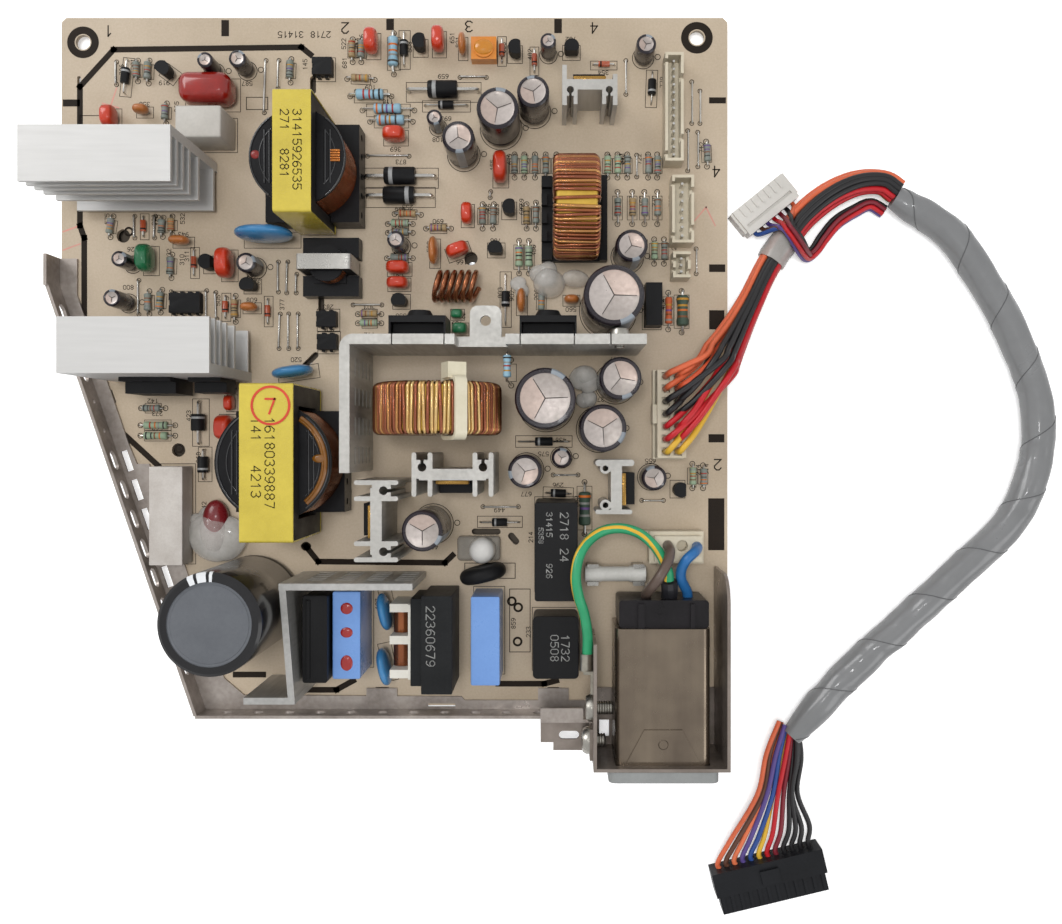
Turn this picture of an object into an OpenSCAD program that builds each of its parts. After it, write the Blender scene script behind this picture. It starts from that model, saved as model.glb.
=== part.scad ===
/* [Board] */
// Width of the circuit board
board_w = 218; // [216:0.5:222]
// Depth of the circuit board
board_d = 225; // [224:0.5:228]
// Thickness of the circuit board
board_t = 1.6; // [1.2:0.1:2.4]
// Height of the board's underside over the table
board_lift = 2.5; // [2:0.1:5]
// Bore of the two corner mounting holes
mount_hole_d = 4.8; // [3.2:0.1:5]
// Bore of the three fixture holes
fixture_hole_d = 4.4; // [3:0.1:5]

/* [Side rail and inlet bracket] */
// Sheet thickness of the steel parts
steel_t = 1; // [0.8:0.1:1.4]
// Height of the rail's wall over the board
rail_h = 9.5; // [9:0.5:13]
// Pitch of the rail's holes
rail_pitch = 10; // [9:0.5:12]
// Height of the inlet bracket's walls over the board
bracket_h = 27; // [26:0.5:32]
// Width of the mains inlet's metal can
inlet_w = 29; // [27:0.5:30]
// Height of the mains inlet's metal can
inlet_h = 22.5; // [22:0.5:23.5]

/* [Heatsinks] */
// Length of the two fin heatsinks
fin_sink_l = 44; // [40:1:46]
// Depth of the two fin heatsinks
fin_sink_d = 16.3; // [14:0.1:17]
// Height of the two fin heatsinks
fin_sink_h = 41; // [40:0.5:45]
// Height of the angle heatsink
angle_h = 38.5; // [36:0.5:44]
// Thickness of the angle heatsink
angle_t = 3; // [2.5:0.1:3.2]
// Height of the perforated shield
shield_h = 31; // [29:0.5:36]
// Thickness of the perforated shield
shield_t = 2; // [1.6:0.1:2.2]
// Height of the two H-profile heatsinks
profile_h = 30; // [28:1:36]

/* [Wound parts] */
// Diameter of the large toroid's core
toroid_d = 37; // [35:0.5:38]
// Diameter of the second toroid's core
choke_d = 30; // [29:0.5:31]
// Diameter of the copper wire on the toroids
copper_d = 1.1; // [0.9:0.1:1.2]
// Height of the large transformer
transformer_h = 38; // [36:1:40]

/* [Capacitors] */
// Diameter of the main reservoir capacitor
main_cap_d = 30; // [28:0.5:30]
// Height of the main reservoir capacitor
main_cap_h = 46; // [42:1:52]

/* [Hidden] */
$fn = 48;

// The frame: x and y of every place below count from the board's front left corner, where the
// uncut edges would meet. The whole is then moved to stand with its origin under its middle.
x_min = -steel_t;
x_max = board_w;
y_min = -20;
y_max = board_d - 3;
zt = board_lift + board_t;
eps = 0.01;

module place(x = 0, y = 0, z = 0, a = 0)
    translate([x - (x_min + x_max) / 2, y - (y_min + y_max) / 2, zt + z])
        rotate([0, 0, a])
            children();

// A block from corner to corner, z counted from the board's top face
module block(x0, y0, x1, y1, z0, z1)
    place(x0, y0, z0)
        cube([x1 - x0, y1 - y0, z1 - z0]);

module post(x, y, d, z0, z1)
    place(x, y, z0)
        cylinder(d = d, h = z1 - z0);

module rod_x(x0, x1, y, z, d)
    place(x0, y, z)
        rotate([0, 90, 0])
            cylinder(d = d, h = x1 - x0);

module rod_y(x, y0, y1, z, d)
    place(x, y0, z)
        rotate([-90, 0, 0])
            cylinder(d = d, h = y1 - y0);

// A rectangle with round corners, centred
module soft_rect(w, d, r) {
    square([w - 2 * r, d], center = true);
    square([w, d - 2 * r], center = true);
    for (sx = [-1, 1])
        for (sy = [-1, 1])
            translate([sx * (w / 2 - r), sy * (d / 2 - r)])
                circle(r);
}

module soft_block(x, y, w, d, r, z0, z1)
    place(x, y, z0)
        linear_extrude(z1 - z0)
            soft_rect(w, d, r);

// ---- Cords: one ring at each point of the route, turned with it ----

function unit(v) = v / norm(v);

function tangent(p, i) =
    unit(p[min(i + 1, len(p) - 1)] - p[max(i - 1, 0)]);

// The ring's first axis, carried along so that the tube never twists
function side_axis(p, i) =
    i == 0
        ? unit(cross(tangent(p, 0), abs(tangent(p, 0)[2]) > 0.9 ? [1, 0, 0] : [0, 0, 1]))
        : let (a = side_axis(p, i - 1), t = tangent(p, i)) unit(a - t * (a * t));

module tube(points, d, sides = 8) {
    n = len(points);
    ring = [
        for (i = [0 : n - 1])
            let (a = side_axis(points, i), b = cross(tangent(points, i), a))
                for (k = [0 : sides - 1])
                    points[i] + d / 2 * (cos(360 * k / sides) * a + sin(360 * k / sides) * b)
    ];
    walls = [
        for (i = [0 : n - 2])
            for (k = [0 : sides - 1])
                let (m = (k + 1) % sides)
                    [i * sides + k, i * sides + m, (i + 1) * sides + m, (i + 1) * sides + k]
    ];
    start = [[for (k = [sides - 1 : -1 : 0]) k]];
    finish = [[for (k = [0 : sides - 1]) (n - 1) * sides + k]];
    polyhedron(ring, concat(start, walls, finish), convexity = 10);
}

// ---- Board ----

mount_holes = [[7, 214], [208, 215.5]];
fixture_holes = [[20.2, 150.6], [134, 143.2], [38.3, 80.5]];
// Slots milled through the board: centre, size and turn
board_slots = [
    [5.7, 199, 8, 1.2, 90], [82.3, 200, 6, 2, 90], [85, 128.5, 6, 2, 90], [81.5, 110, 6.5, 2, 45],
    [80, 49, 3.4, 2.4, 0], [139, 53.8, 9.5, 2, 0], [148, 51.5, 4.5, 2.2, -50]
];
// Where the rail's tabs go through: centre and turn
rail_tabs = [[4, 139, 90], [16.5, 98, -70.6], [27, 70, -70.6], [105, 2.2, 0], [161, 2.2, 0]];
tab_w = 4;
rail_wall = [[0, 143], [0, 134], [47.5, -4], [173, -4]];
rail_slant = atan2(rail_wall[2][1] - rail_wall[1][1], rail_wall[2][0] - rail_wall[1][0]);
rail_slant_l = norm(rail_wall[2] - rail_wall[1]);

module slot_2d(l, w) {
    square([l - w, w], center = true);
    for (s = [-1, 1])
        translate([s * (l - w) / 2, 0])
            circle(d = w);
}

module circuit_board() {
    color("tan")
        place(0, 0, -board_t)
            linear_extrude(board_t)
                difference() {
                    polygon([
                        [1.5, y_max], [0, y_max - 1.5], [0, 133.5], [3, 133.5],
                        [50.5, -3], [board_w, -3], [board_w, y_max - 1.5], [board_w - 1.5, y_max]
                    ]);
                    for (p = mount_holes)
                        translate(p)
                            circle(d = mount_hole_d);
                    for (p = fixture_holes)
                        translate(p)
                            circle(d = fixture_hole_d);
                    for (s = board_slots)
                        translate([s[0], s[1]])
                            rotate(s[4])
                                slot_2d(s[2], s[3]);
                    for (t = rail_tabs)
                        translate([t[0], t[1]])
                            rotate(t[2])
                                square([tab_w + 0.4, steel_t + 0.4], center = true);
                }
}

// Soldered pin ends below the board, on a staggered field that keeps clear of holes and edges
module solder_joint()
    rotate([180, 0, 0])
        union() {
            cylinder(d1 = 2.6, d2 = 1, h = 1.4);
            cylinder(d = 0.8, h = board_lift);
        }

solder_rows = [for (j = [0 : 12]) 9 + 16.5 * j];
module solder_joints()
    color("silver")
        for (j = [0 : 12])
            for (i = [0 : 11])
                let (x = 12 + 17.5 * i + (j % 2) * 7, y = solder_rows[j])
                    if (x > 60 - 0.36 * y && x < board_w - 4)
                        place(x, y, -board_t)
                            solder_joint();

// ---- Steel ----

// The rail's slanted wall, drawn flat: u runs along it, v up
module slanted_wall()
    place(rail_wall[1][0], rail_wall[1][1], 0, rail_slant)
        rotate([90, 0, 0])
            linear_extrude(steel_t)
                difference() {
                    translate([-0.15, 0])
                        square([rail_slant_l + 0.15, rail_h]);
                    for (k = [0 : floor(rail_slant_l / rail_pitch) - 2])
                        translate([rail_pitch * (k + 1), 5.2])
                            if (k == 3 || k == 4)
                                circle(d = 1.6);
                            else
                                slot_2d(6.4, 3.6);
                }

module front_wall()
    place(rail_wall[2][0] - 0.5, rail_wall[2][1])
        rotate([90, 0, 0])
            linear_extrude(steel_t)
                difference() {
                    square([rail_wall[3][0] - rail_wall[2][0] + 0.5, rail_h]);
                    for (k = [1 : floor(124 / rail_pitch)])
                        translate([rail_pitch * k - 1, 5.2])
                            slot_2d(3.4, 3);
                }

// The flange that lies on the board, open between the wall and the board's edge
module rail_flange()
    place(0, 0, 0)
        linear_extrude(steel_t)
            difference() {
                polygon([
                    [-steel_t, 143], [-steel_t, 134], [47.5, -4.5], [173, -4.5],
                    [173, -1.2], [132, -1.2], [131, 0], [60, 0.5], [53.5, 6],
                    [29, 76], [25, 76], [22.5, 82], [5.5, 131], [5.5, 143]
                ]);
                for (k = [2, 6, 7, 8, 9, 10, 11, 12])
                    translate(rail_wall[1] + unit(rail_wall[2] - rail_wall[1]) * (rail_pitch * k + 1))
                        rotate(rail_slant)
                            translate([-3.5, 1])
                                square([7, 2.2]);
                translate([120, -3.4])
                    square([9, 1.2]);
            }

module rail_tab()
    translate([-tab_w / 2, -steel_t / 2, -board_t - 1.6])
        cube([tab_w, steel_t, board_t + 1.6 + steel_t]);

module side_rail()
    color("dimgray")
        union() {
            slanted_wall();
            front_wall();
            block(-steel_t, 134 - steel_t, 0, 143, 0, rail_h + 0.6);
            rail_flange();
            for (t = rail_tabs)
                place(t[0], t[1], 0, t[2])
                    rail_tab();
            block(100, 0, 110, 2.7, 0, steel_t);
            block(156, -1.4, 166, 2.7, 0, steel_t);
            // The rail's end stands higher, with a lip that turns in over the front edge
            block(157, -4 - steel_t, 173, -4, rail_h - eps, 14);
            block(157, -4 - eps, 170.4, -0.5, 14 - steel_t, 14);
        }

bracket_left = 173.2;
bracket_right = 214.5;
bracket_front = -15.5;
inlet_x = 194.5;
inlet_z = steel_t;

module inlet_bracket()
    color("gray")
        difference() {
            union() {
                // Left wall, right wall with its round ear, front wall and floor
                block(bracket_left, bracket_front, bracket_left + steel_t, 22, 0, bracket_h);
                block(bracket_right - steel_t, bracket_front, bracket_right, 34, 0, bracket_h);
                place(bracket_right - steel_t, 34, 0)
                    rotate([90, 0, 90])
                        linear_extrude(steel_t)
                            intersection() {
                                translate([-9, 0])
                                    square([18, bracket_h]);
                                translate([-0.5, 0])
                                    union() {
                                        square([1, bracket_h]);
                                        translate([0, bracket_h - 9])
                                            circle(9);
                                        square([9, bracket_h - 9]);
                                    }
                            }
                block(bracket_left, bracket_front - steel_t, bracket_right, bracket_front,
                    0, bracket_h);
                block(bracket_left, bracket_front - eps, bracket_right, 3, 0, steel_t);
            }
            // The hole that the inlet goes through
            place(inlet_x - inlet_w / 2, bracket_front - 2, inlet_z)
                cube([inlet_w, 4, inlet_h]);
            // Screw bores in the left wall
            for (s = bracket_screws)
                rod_x(bracket_left - 1, bracket_left + 3, s[0], s[1], 3.4);
            // Slot over the table in front of the board
            block(176, -13, 179.2, -7.5, -1, 3);
        }

// Screws through the left wall: place along it and height
bracket_screws = [[0.5, 17], [-9.5, 17]];

module pan_screw(l, head_d = 7.4) {
    rotate([0, 90, 0])
        union() {
            cylinder(d = 3, h = l);
            translate([0, 0, -2.4])
                cylinder(d1 = head_d - 2.4, d2 = head_d, h = 1.4);
            translate([0, 0, -1])
                cylinder(d = head_d, h = 1);
        }
}

// The ear outside the rail, held by the front screw
module fixing_ear()
    color("darkkhaki")
        difference() {
            union() {
                place(bracket_left - steel_t, -14.5, 10)
                    cube([steel_t, 9.5, 12]);
                block(161, -14.5, bracket_left, -5, 10, 10 + steel_t);
                block(157, -12, 161.3, -5, 10, 10 + steel_t);
            }
            place(166, -9.7, 8)
                linear_extrude(4)
                    slot_2d(6.4, 2.6);
            rod_x(bracket_left - 3, bracket_left + 1, bracket_screws[1][0], bracket_screws[1][1], 3.4);
        }

angle_screw = [180.6, 33];
module metal_screws()
    color("silver") {
        place(bracket_left, bracket_screws[0][0], bracket_screws[0][1])
            pan_screw(6.4, 8.4);
        place(bracket_left - steel_t, bracket_screws[1][0], bracket_screws[1][1])
            pan_screw(5, 8.4);
        // The screw that holds the rectifier on the angle heatsink points forward
        place(angle_screw[0], angle_y1 + angle_t, angle_screw[1])
            rotate([0, 0, -90])
                pan_screw(angle_t + 7, 6);
    }

// ---- Mains inlet ----

can_y0 = bracket_front - steel_t;
can_y1 = 26;
socket_w = 24.4;
socket_h = 16.6;

module chamfered_2d(w, h, c)
    polygon([
        [-w / 2, -h / 2], [w / 2, -h / 2], [w / 2, h / 2 - c], [w / 2 - c, h / 2],
        [-w / 2 + c, h / 2], [-w / 2, h / 2 - c]
    ]);

module inlet_section()
    place(inlet_x, can_y1, inlet_z + inlet_h / 2)
        rotate([90, 0, 0])
            children();

module inlet_can()
    color("rosybrown")
        union() {
            inlet_section()
                difference() {
                    linear_extrude(can_y1 - can_y0)
                        soft_rect(inlet_w, inlet_h, 2.5);
                    translate([0, 0, 0.5])
                        linear_extrude(can_y1 - can_y0)
                            soft_rect(inlet_w - 1, inlet_h - 1, 2);
                }
            // The spring tab on the can's top, with its dimple
            place(inlet_x, 0, inlet_z + inlet_h - 0.3)
                linear_extrude(0.8)
                    polygon([[-11, -14.3], [11, -14.3], [5.8, -4.6], [-5.8, -4.6]]);
            place(inlet_x, -9, inlet_z + inlet_h)
                cylinder(d1 = 4, d2 = 2.6, h = 0.8);
        }

module inlet_socket()
    color("lightgray")
        inlet_section()
            difference() {
                union() {
                    translate([0, 0, 8])
                        linear_extrude(can_y1 - can_y0 - 8)
                            soft_rect(inlet_w - 1, inlet_h - 1, 2);
                    translate([0, 1, can_y1 - can_y0])
                        linear_extrude(can_y0 - y_min)
                            soft_rect(33.4, 26.5, 2.4);
                }
                translate([0, 0, can_y1 - y_min - 16.5])
                    linear_extrude(20)
                        chamfered_2d(socket_w, socket_h, 4.5);
                for (b = blade_places)
                    translate([b[0] - 1, b[1] - 2, 0])
                        cube([2, 4, 40]);
            }

// Blades in the socket: across and up from the inlet's middle
blade_places = [[-7, -2], [7, -2], [0, 2]];
module inlet_blades()
    color("gold")
        inlet_section()
            for (b = blade_places)
                translate([b[0] - 1, b[1] - 2, 8])
                    cube([2, 4, can_y1 - y_min - 10.5]);

rear_y1 = 34.5;
module inlet_rear_cover()
    color("#222222")
        union() {
            soft_block(inlet_x + 0.5, (can_y1 + rear_y1) / 2, 27.5, rear_y1 - can_y1, 1, 2.5, 21.5);
            block(187, can_y1, 189, rear_y1 - 1, 21.5, 22.5);
            block(203, can_y1, 204.4, rear_y1 - 1, 21.5, 22.5);
        }

module earth_lug()
    color("silver")
        union() {
            block(bracket_left - 0.8, 6, bracket_left, 13, 18, 23);
            block(bracket_left - 2.9, 12, bracket_left, 13, 18, 23);
            rod_y(bracket_left - 2, 12.8, 18, 20.5, 4);
        }

// ---- Wires that the unit holds all the way ----

earth_route = [
    [171.5, 18, 20.5], [171.5, 24, 22], [170.4, 31, 25.5], [168.6, 37, 28], [167.8, 43, 28.4],
    [169, 49, 27], [172.2, 53.4, 24.5], [176.6, 56, 22.5], [182, 56.6, 21.5], [187.4, 55, 20.6],
    [191.6, 51.6, 20.2], [194.6, 47.4, 19.8], [196.4, 43, 19.4], [196.8, 40.4, 18.6]
];
brown_route = [
    [197, 50.6, 13], [196.9, 50.4, 17], [196.8, 49.4, 21.6], [195.6, 46.4, 25], [193, 42.2, 26.6],
    [191.2, 39.4, 24.8], [190.2, 37.4, 21], [190, 36, 17.4], [190, 34.5, 14.4]
];
blue_route = [
    [206.2, 50.2, 13], [205.9, 50, 16.5], [204.4, 49, 20], [202, 47, 21], [200.6, 44, 19.6],
    [200.6, 41, 18], [201.6, 38.6, 16.4], [202.8, 36.4, 15], [203.2, 34.5, 14]
];

module earth_wire()
    color("mediumseagreen")
        place()
            tube(earth_route, 3.2);

module mains_wires()
    place() {
        color("saddlebrown")
            tube(brown_route, 3.2);
        color("dodgerblue")
            tube(blue_route, 3.2);
    }

module wire_sleeve()
    color("#202020")
        place()
            tube([[196.9, 40, 18.4], [197.1, 38.2, 17.8], [197.2, 36.4, 16.8], [197.2, 34.6, 15.8]], 5.2, 10);

// ---- Fuse and thermistor ----

fuse_y = 40.8;
fuse_z = 6.5;
fuse_x = 171.2;
module fuse()
    color("white")
        union() {
            rod_x(fuse_x, fuse_x + 19.4, fuse_y, fuse_z, 4.8);
            rod_x(fuse_x, fuse_x + 5.2, fuse_y, fuse_z, 5.2);
            rod_x(fuse_x + 14.2, fuse_x + 19.4, fuse_y, fuse_z, 5.2);
        }

module fuse_clips()
    color("silver")
        for (x = [fuse_x + 0.6, fuse_x + 15.2])
            difference() {
                union() {
                    block(x, fuse_y - 3, x + 3.6, fuse_y + 3, 0, fuse_z);
                    block(x, fuse_y - 3.4, x + 3.6, fuse_y - 2.2, fuse_z - 1, fuse_z + 3.4);
                    block(x, fuse_y + 2.2, x + 3.6, fuse_y + 3.4, fuse_z - 1, fuse_z + 3.4);
                }
                rod_x(x - 1, x + 5, fuse_y, fuse_z, 5.2);
                block(x - 1, fuse_y - 2.2, x + 5, fuse_y + 2.2, 0.8, fuse_z - 2.2);
            }

// A flat disc that stands on edge, its axis level
module disc(d, t)
    rotate([90, 0, 0])
        rotate_extrude()
            union() {
                translate([0, -t / 2])
                    square([(d - t) / 2, t]);
                translate([(d - t) / 2, 0])
                    intersection() {
                        circle(d = t);
                        translate([0, -t / 2])
                            square([t, t]);
                    }
            }

// A disc with its two leads down to the board
module leaded_disc(d, t, lift, spread)
    union() {
        translate([0, 0, lift + d / 2])
            disc(d, t);
        for (s = [-1, 1])
            translate([s * spread / 2, 0, 0])
                cylinder(d = 0.7, h = lift + d / 2);
    }

module thermistor()
    color("#222222")
        place(138.6, 41.2, 0, 13)
            leaded_disc(15, 4.8, 1.5, 7.5);

// ---- Line side blocks ----

module line_capacitors()
    color("cornflowerblue") {
        soft_block(97.3, 23.5, 8.6, 27, 0.6, 0, 20);
        soft_block(140, 21.5, 9, 27.5, 0.6, 0, 19);
    }

module line_box()
    color("#1c1c1c")
        union() {
            soft_block(88.5, 23, 7.6, 26.6, 0.8, 0, 24);
            block(86, 11, 87.2, 35, 24 - eps, 24.8);
        }

module line_choke_core()
    color("#3a3f40")
        union() {
            block(117, 7.8, 120.8, 34.8, 0, 20);
            block(120.8, 6.2, 130.2, 36.2, 0, 24);
        }

module line_choke_bobbin()
    color("ivory")
        union() {
            for (y = [9.4, 20, 30])
                block(110, y, 116, y + 2.6, 0, 16);
            rod_y(112.9, 11, 31, 8, 3);
            block(116, 9.4, 117, 32.6, 0, 18);
        }

module line_choke_winding()
    color("sienna")
        for (y = [12.1, 22.7])
            difference() {
                rod_y(112.9, y, y + 7.2, 8, 5.8);
                rod_y(112.9, y - 1, y + 9, 8, 3);
            }

module relays()
    color("#202020") {
        soft_block(161.9, 49.7, 13, 30, 0.8, 0, 25);
        soft_block(161.8, 18.7, 14.4, 19.6, 1.5, 0, 15);
    }

main_cap = [63.8, 31.3];
module main_capacitor()
    color("#30343c")
        place(main_cap[0], main_cap[1])
            rotate_extrude()
                polygon([
                    [0, 0], [main_cap_d / 2 - 0.8, 0], [main_cap_d / 2, 0.8],
                    [main_cap_d / 2, main_cap_h - 1], [main_cap_d / 2 - 1, main_cap_h],
                    [main_cap_d / 2 - 3.2, main_cap_h], [main_cap_d / 2 - 3.4, main_cap_h - 0.5],
                    [0, main_cap_h - 0.5]
                ]);

// ---- Shield and heatsinks ----

shield_wall_y = 38.9;
// One wall of the shield, drawn flat, with its rows of slots
module slotted_wall(l, rows, first = 6, z0 = 5)
    rotate([90, 0, 0])
        linear_extrude(shield_t)
            difference() {
                square([l, shield_h]);
                for (r = [0 : rows - 1])
                    for (k = [0 : floor((l - first - 4) / 9)])
                        translate([first + 9 * k + 3, z0 + 4.4 * r])
                            slot_2d(6, 1.6);
            }

module perforated_shield()
    color("silver") {
        leg_a = [81.4, shield_wall_y + shield_t];
        leg_b = [84.2, 6.4];
        leg_turn = atan2(leg_b[1] - leg_a[1], leg_b[0] - leg_a[0]);
        union() {
            place(leg_a[0] - shield_t, shield_wall_y + shield_t)
                slotted_wall(119.2 - leg_a[0] + shield_t, 5);
            place(leg_a[0], leg_a[1], 0, leg_turn)
                slotted_wall(norm(leg_b - leg_a), 2, 8, 8);
            block(69, 5, leg_b[0], 5 + shield_t, 0, shield_h);
        }
    }

angle_x0 = 99;
angle_x1 = 188.2;
angle_y0 = 74;
angle_y1 = 111.4;
corner_r = 4;
tab_hole_d = 3.2;
tab_t = 2;
tab_l = 9.3;
tab_x = 140.9;
tab_z = 30;
module angle_heatsink()
    color("gainsboro")
        difference() {
            union() {
                // The two legs, with a round outer corner
                place()
                    linear_extrude(angle_h)
                        difference() {
                            union() {
                                translate([angle_x0, angle_y1])
                                    square([angle_x1 - angle_x0, angle_t]);
                                translate([angle_x0, angle_y0])
                                    square([angle_t, angle_y1 + angle_t - angle_y0]);
                            }
                            difference() {
                                translate([angle_x0 - 1, angle_y1 + angle_t - corner_r])
                                    square([corner_r + 1, corner_r + 1]);
                                translate([angle_x0 + corner_r, angle_y1 + angle_t - corner_r])
                                    circle(corner_r);
                            }
                        }
                // The bent tab with its hole
                place(tab_x, angle_y1 + angle_t, tab_z - tab_t)
                    linear_extrude(tab_t)
                        translate([0, tab_l / 2 - 1.3])
                            soft_rect(9.4, tab_l + 2.6, 2.4);
            }
            // The notch in the top edge around the tab
            block(132.4, angle_y1 - 1, 147.2, angle_y1 + angle_t + 1, tab_z, angle_h + 1);
            post(tab_x, 119.2, tab_hole_d, tab_z - 4, tab_z + 2);
            // Rows of louvre slots in the side leg
            for (j = [0 : 3])
                for (k = [0 : 4])
                    place(angle_x0 - 1, 79 + 8.8 * j, 6 + 6 * k)
                        rotate([90, 0, 90])
                            linear_extrude(angle_t + 2)
                                slot_2d(5.4, 1.6);
            // Saw cuts that part the top edge
            for (x = [114, 129.2, 151.3, 167, 177.6])
                block(x, angle_y1 - 1, x + 0.4, angle_y1 + angle_t + 1, angle_h - 6, angle_h + 1);
            rod_y(angle_screw[0], angle_y1 - 1, angle_y1 + angle_t + 1, angle_screw[1], 3.2);
        }

fin_heights = [41, 36.2, 31.4, 26, 18.2, 4.2];
// Section of a fin heatsink: y away from the fins' edge, z up
module fin_section()
    union() {
        translate([fin_sink_d - 3, 0])
            square([3, fin_sink_h]);
        for (k = [0 : 5])
            translate([0, fin_heights[k] * fin_sink_h / 41 - 1.5])
                square([fin_sink_d, 1.5]);
    }

module fin_heatsinks()
    color("white") {
        place(7, 158)
            rotate([90, 0, 90])
                linear_extrude(fin_sink_l)
                    fin_section();
        place(18.2, 119.1)
            rotate([90, 0, 90])
                linear_extrude(fin_sink_l)
                    mirror([1, 0])
                        fin_section();
    }

// H profile with two screw grooves, centred; its web lies along x
module h_profile_2d()
    difference() {
        union() {
            square([20, 3.4], center = true);
            for (x = [-11.5, -6.7, 6.7, 11.5])
                translate([x, 0])
                    soft_rect(1.4, 13.2, 0.65);
            for (s = [-1, 1])
                translate([s * 9.1, 1.6])
                    square([4.4, 5.6], center = true);
        }
        for (s = [-1, 1]) {
            translate([s * 9.1, 2.2])
                circle(d = 2.6);
            translate([s * 9.1 - 0.5, 2.2])
                square([1, 4]);
        }
    }

module profile_heatsinks()
    color("antiquewhite") {
        place(131, 73.3)
            linear_extrude(profile_h)
                h_profile_2d();
        place(108.2, 59.4, 0, -90)
            linear_extrude(profile_h)
                h_profile_2d();
    }

// U profile of the regulator's heatsink, centred on its web
module u_profile_2d()
    difference() {
        union() {
            translate([0, 1])
                square([17, 3.2], center = true);
            for (s = [-1, 1]) {
                translate([s * 7.8, -0.6])
                    square([1.4, 9.6], center = true);
                translate([s * 4.4, -2.6])
                    square([1.2, 5], center = true);
                translate([s * 6, -1])
                    square([4, 3], center = true);
            }
            translate([-7.8, 4])
                square([1.4, 6], center = true);
        }
        for (s = [-1, 1]) {
            translate([s * 6, -0.6])
                circle(d = 2.2);
            translate([s * 6 - 0.4, -6])
                square([0.8, 5.4]);
        }
    }

module small_heatsinks()
    color("lightgray") {
        place(172.3, 192.2)
            linear_extrude(20)
                u_profile_2d();
        place(180.6, 69.2)
            linear_extrude(18)
                difference() {
                    union() {
                        square([3.4, 15], center = true);
                        translate([-0.5, 7.4])
                            soft_rect(12, 2, 0.9);
                        translate([-0.8, -7.8])
                            soft_rect(11.4, 1.4, 0.6);
                        for (s = [-1, 1])
                            translate([-3.4, s * 5.7])
                                circle(d = 3.4);
                        for (s = [-1, 1])
                            translate([-2.4, s * 5.7])
                                square([2.4, 2], center = true);
                    }
                    for (s = [-1, 1])
                        translate([-3.4, s * 5.7])
                            circle(d = 1.8);
                }
    }

// A power device that stands on three legs: tab behind, body in front, facing -y
module power_device(w = 10, h = 9, t = 4.4, tab = 6, lift = 6)
    union() {
        translate([-w / 2, -t, lift])
            cube([w, t, h]);
        translate([-w / 2, -1.3, lift])
            difference() {
                cube([w, 1.3, h + tab]);
                translate([w / 2, -1, h + tab / 2])
                    rotate([-90, 0, 0])
                        cylinder(d = 3.2, h = 4);
            }
        for (k = [-1 : 1])
            translate([k * w / 4 - 0.4, -2.6, 0])
                cube([0.8, 0.6, lift + 1]);
    }

// Places of the devices: x, y of the mounting face, turn, width, body, thickness, tab, lift
devices = [
    [37, 105.8 - 3, 0, 15.6, 15, 4.8, 5, 5],
    [54.5, 105.8 - 3, 0, 10, 9, 4.4, 6, 8],
    [29, 174.3, 180, 15.6, 15, 4.8, 5, 5],
    [120, 114.4, 180, 15.6, 15, 4.8, 5, 8],
    [159.5, 114.4, 180, 15.6, 15, 4.8, 5, 8],
    [130.6, 71.6, 0, 10, 9, 4.4, 6, 8],
    [106.5, 59, -90, 10, 9, 4.4, 6, 8],
    [172.3, 194.8, 180, 10, 9, 4.4, 6, 3],
    [182.3, 68.4, 90, 10, 9, 4.4, 4, 3]
];

module power_devices()
    color("#262626")
        for (p = devices)
            place(p[0], p[1], 0, p[2])
                power_device(p[3], p[4], p[5], p[6], p[7]);

// Black clamps that press the two rectifiers on the angle heatsink
module device_clamps()
    color("#1c1c1c")
        for (x = [120, 159.5])
            place(x, 114.4 + 4.8, 0)
                difference() {
                    union() {
                        translate([-8.6, 0, 12])
                            cube([17.2, 2, 15]);
                        translate([0, 2, 20])
                            rotate([-90, 0, 0])
                                cylinder(d1 = 9, d2 = 6.5, h = 2.2);
                        // Feet that reach past the device to the heatsink
                        for (s = [-1, 1])
                            translate([s * 8.3 - 0.3, -4.8, 12])
                                cube([0.6, 5, 15]);
                    }
                    translate([0, 5, 20])
                        rotate([90, 0, 0])
                            cylinder(d = 1.5, h = 2.4);
                }

// ---- Transformers ----

// The middles of the two large transformers
trafo_a = [84.5, 168.4];
trafo_b = [77.7, 76.9];
tape_t = 0.35;

// A core of two E halves: two outer legs, two yokes and a round centre leg
module core_frame(w, l, z0, z1, yoke, window_r, leg_d)
    union() {
        for (z = [z0, z1 - yoke])
            translate([-w / 2, -l / 2, z])
                cube([w, l, yoke]);
        for (s = [-1, 1])
            difference() {
                translate([-w / 2, s > 0 ? window_r - 1 : -l / 2, z0 + yoke - eps])
                    cube([w, l / 2 - window_r + 1, z1 - z0 - 2 * yoke + 2 * eps]);
                translate([0, 0, z0])
                    cylinder(r = window_r, h = z1 - z0);
            }
        translate([0, 0, z0 + yoke - eps])
            cylinder(d = leg_d, h = z1 - z0 - 2 * yoke + 2 * eps);
    }

// Tape wound once around the outside of the yokes and outer legs
module core_tape(w, l, z0, z1)
    rotate([90, 0, 90])
        translate([0, 0, -w / 2])
            linear_extrude(w)
                difference() {
                    translate([-l / 2 - tape_t, z0 - tape_t])
                        square([l + 2 * tape_t, z1 - z0 + 2 * tape_t]);
                    translate([-l / 2, z0])
                        square([l, z1 - z0]);
                }

a_l = 35.4;
a_z = [2.4, transformer_h - 2 - tape_t];
a_yoke = 6.4;
a_r = 14.4;
b_l = 45.8;
b_z = [3, transformer_h - tape_t];
b_yoke = 6.6;
b_r = 17.4;
c_mid = [89.5, 139.4];
c_z = [3, 17 - tape_t];

module transformer_cores()
    color("dimgray") {
        place(trafo_a[0], trafo_a[1])
            core_frame(11, a_l, a_z[0], a_z[1], a_yoke, a_r + 0.4, 11);
        place(trafo_b[0], trafo_b[1])
            core_frame(15.4, b_l, b_z[0], b_z[1], b_yoke, b_r + 0.4, 14);
        place(c_mid[0], c_mid[1], 0, 90)
            core_frame(4.6, 16.4, c_z[0], c_z[1], 3, 5.9, 4.6);
    }

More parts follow.
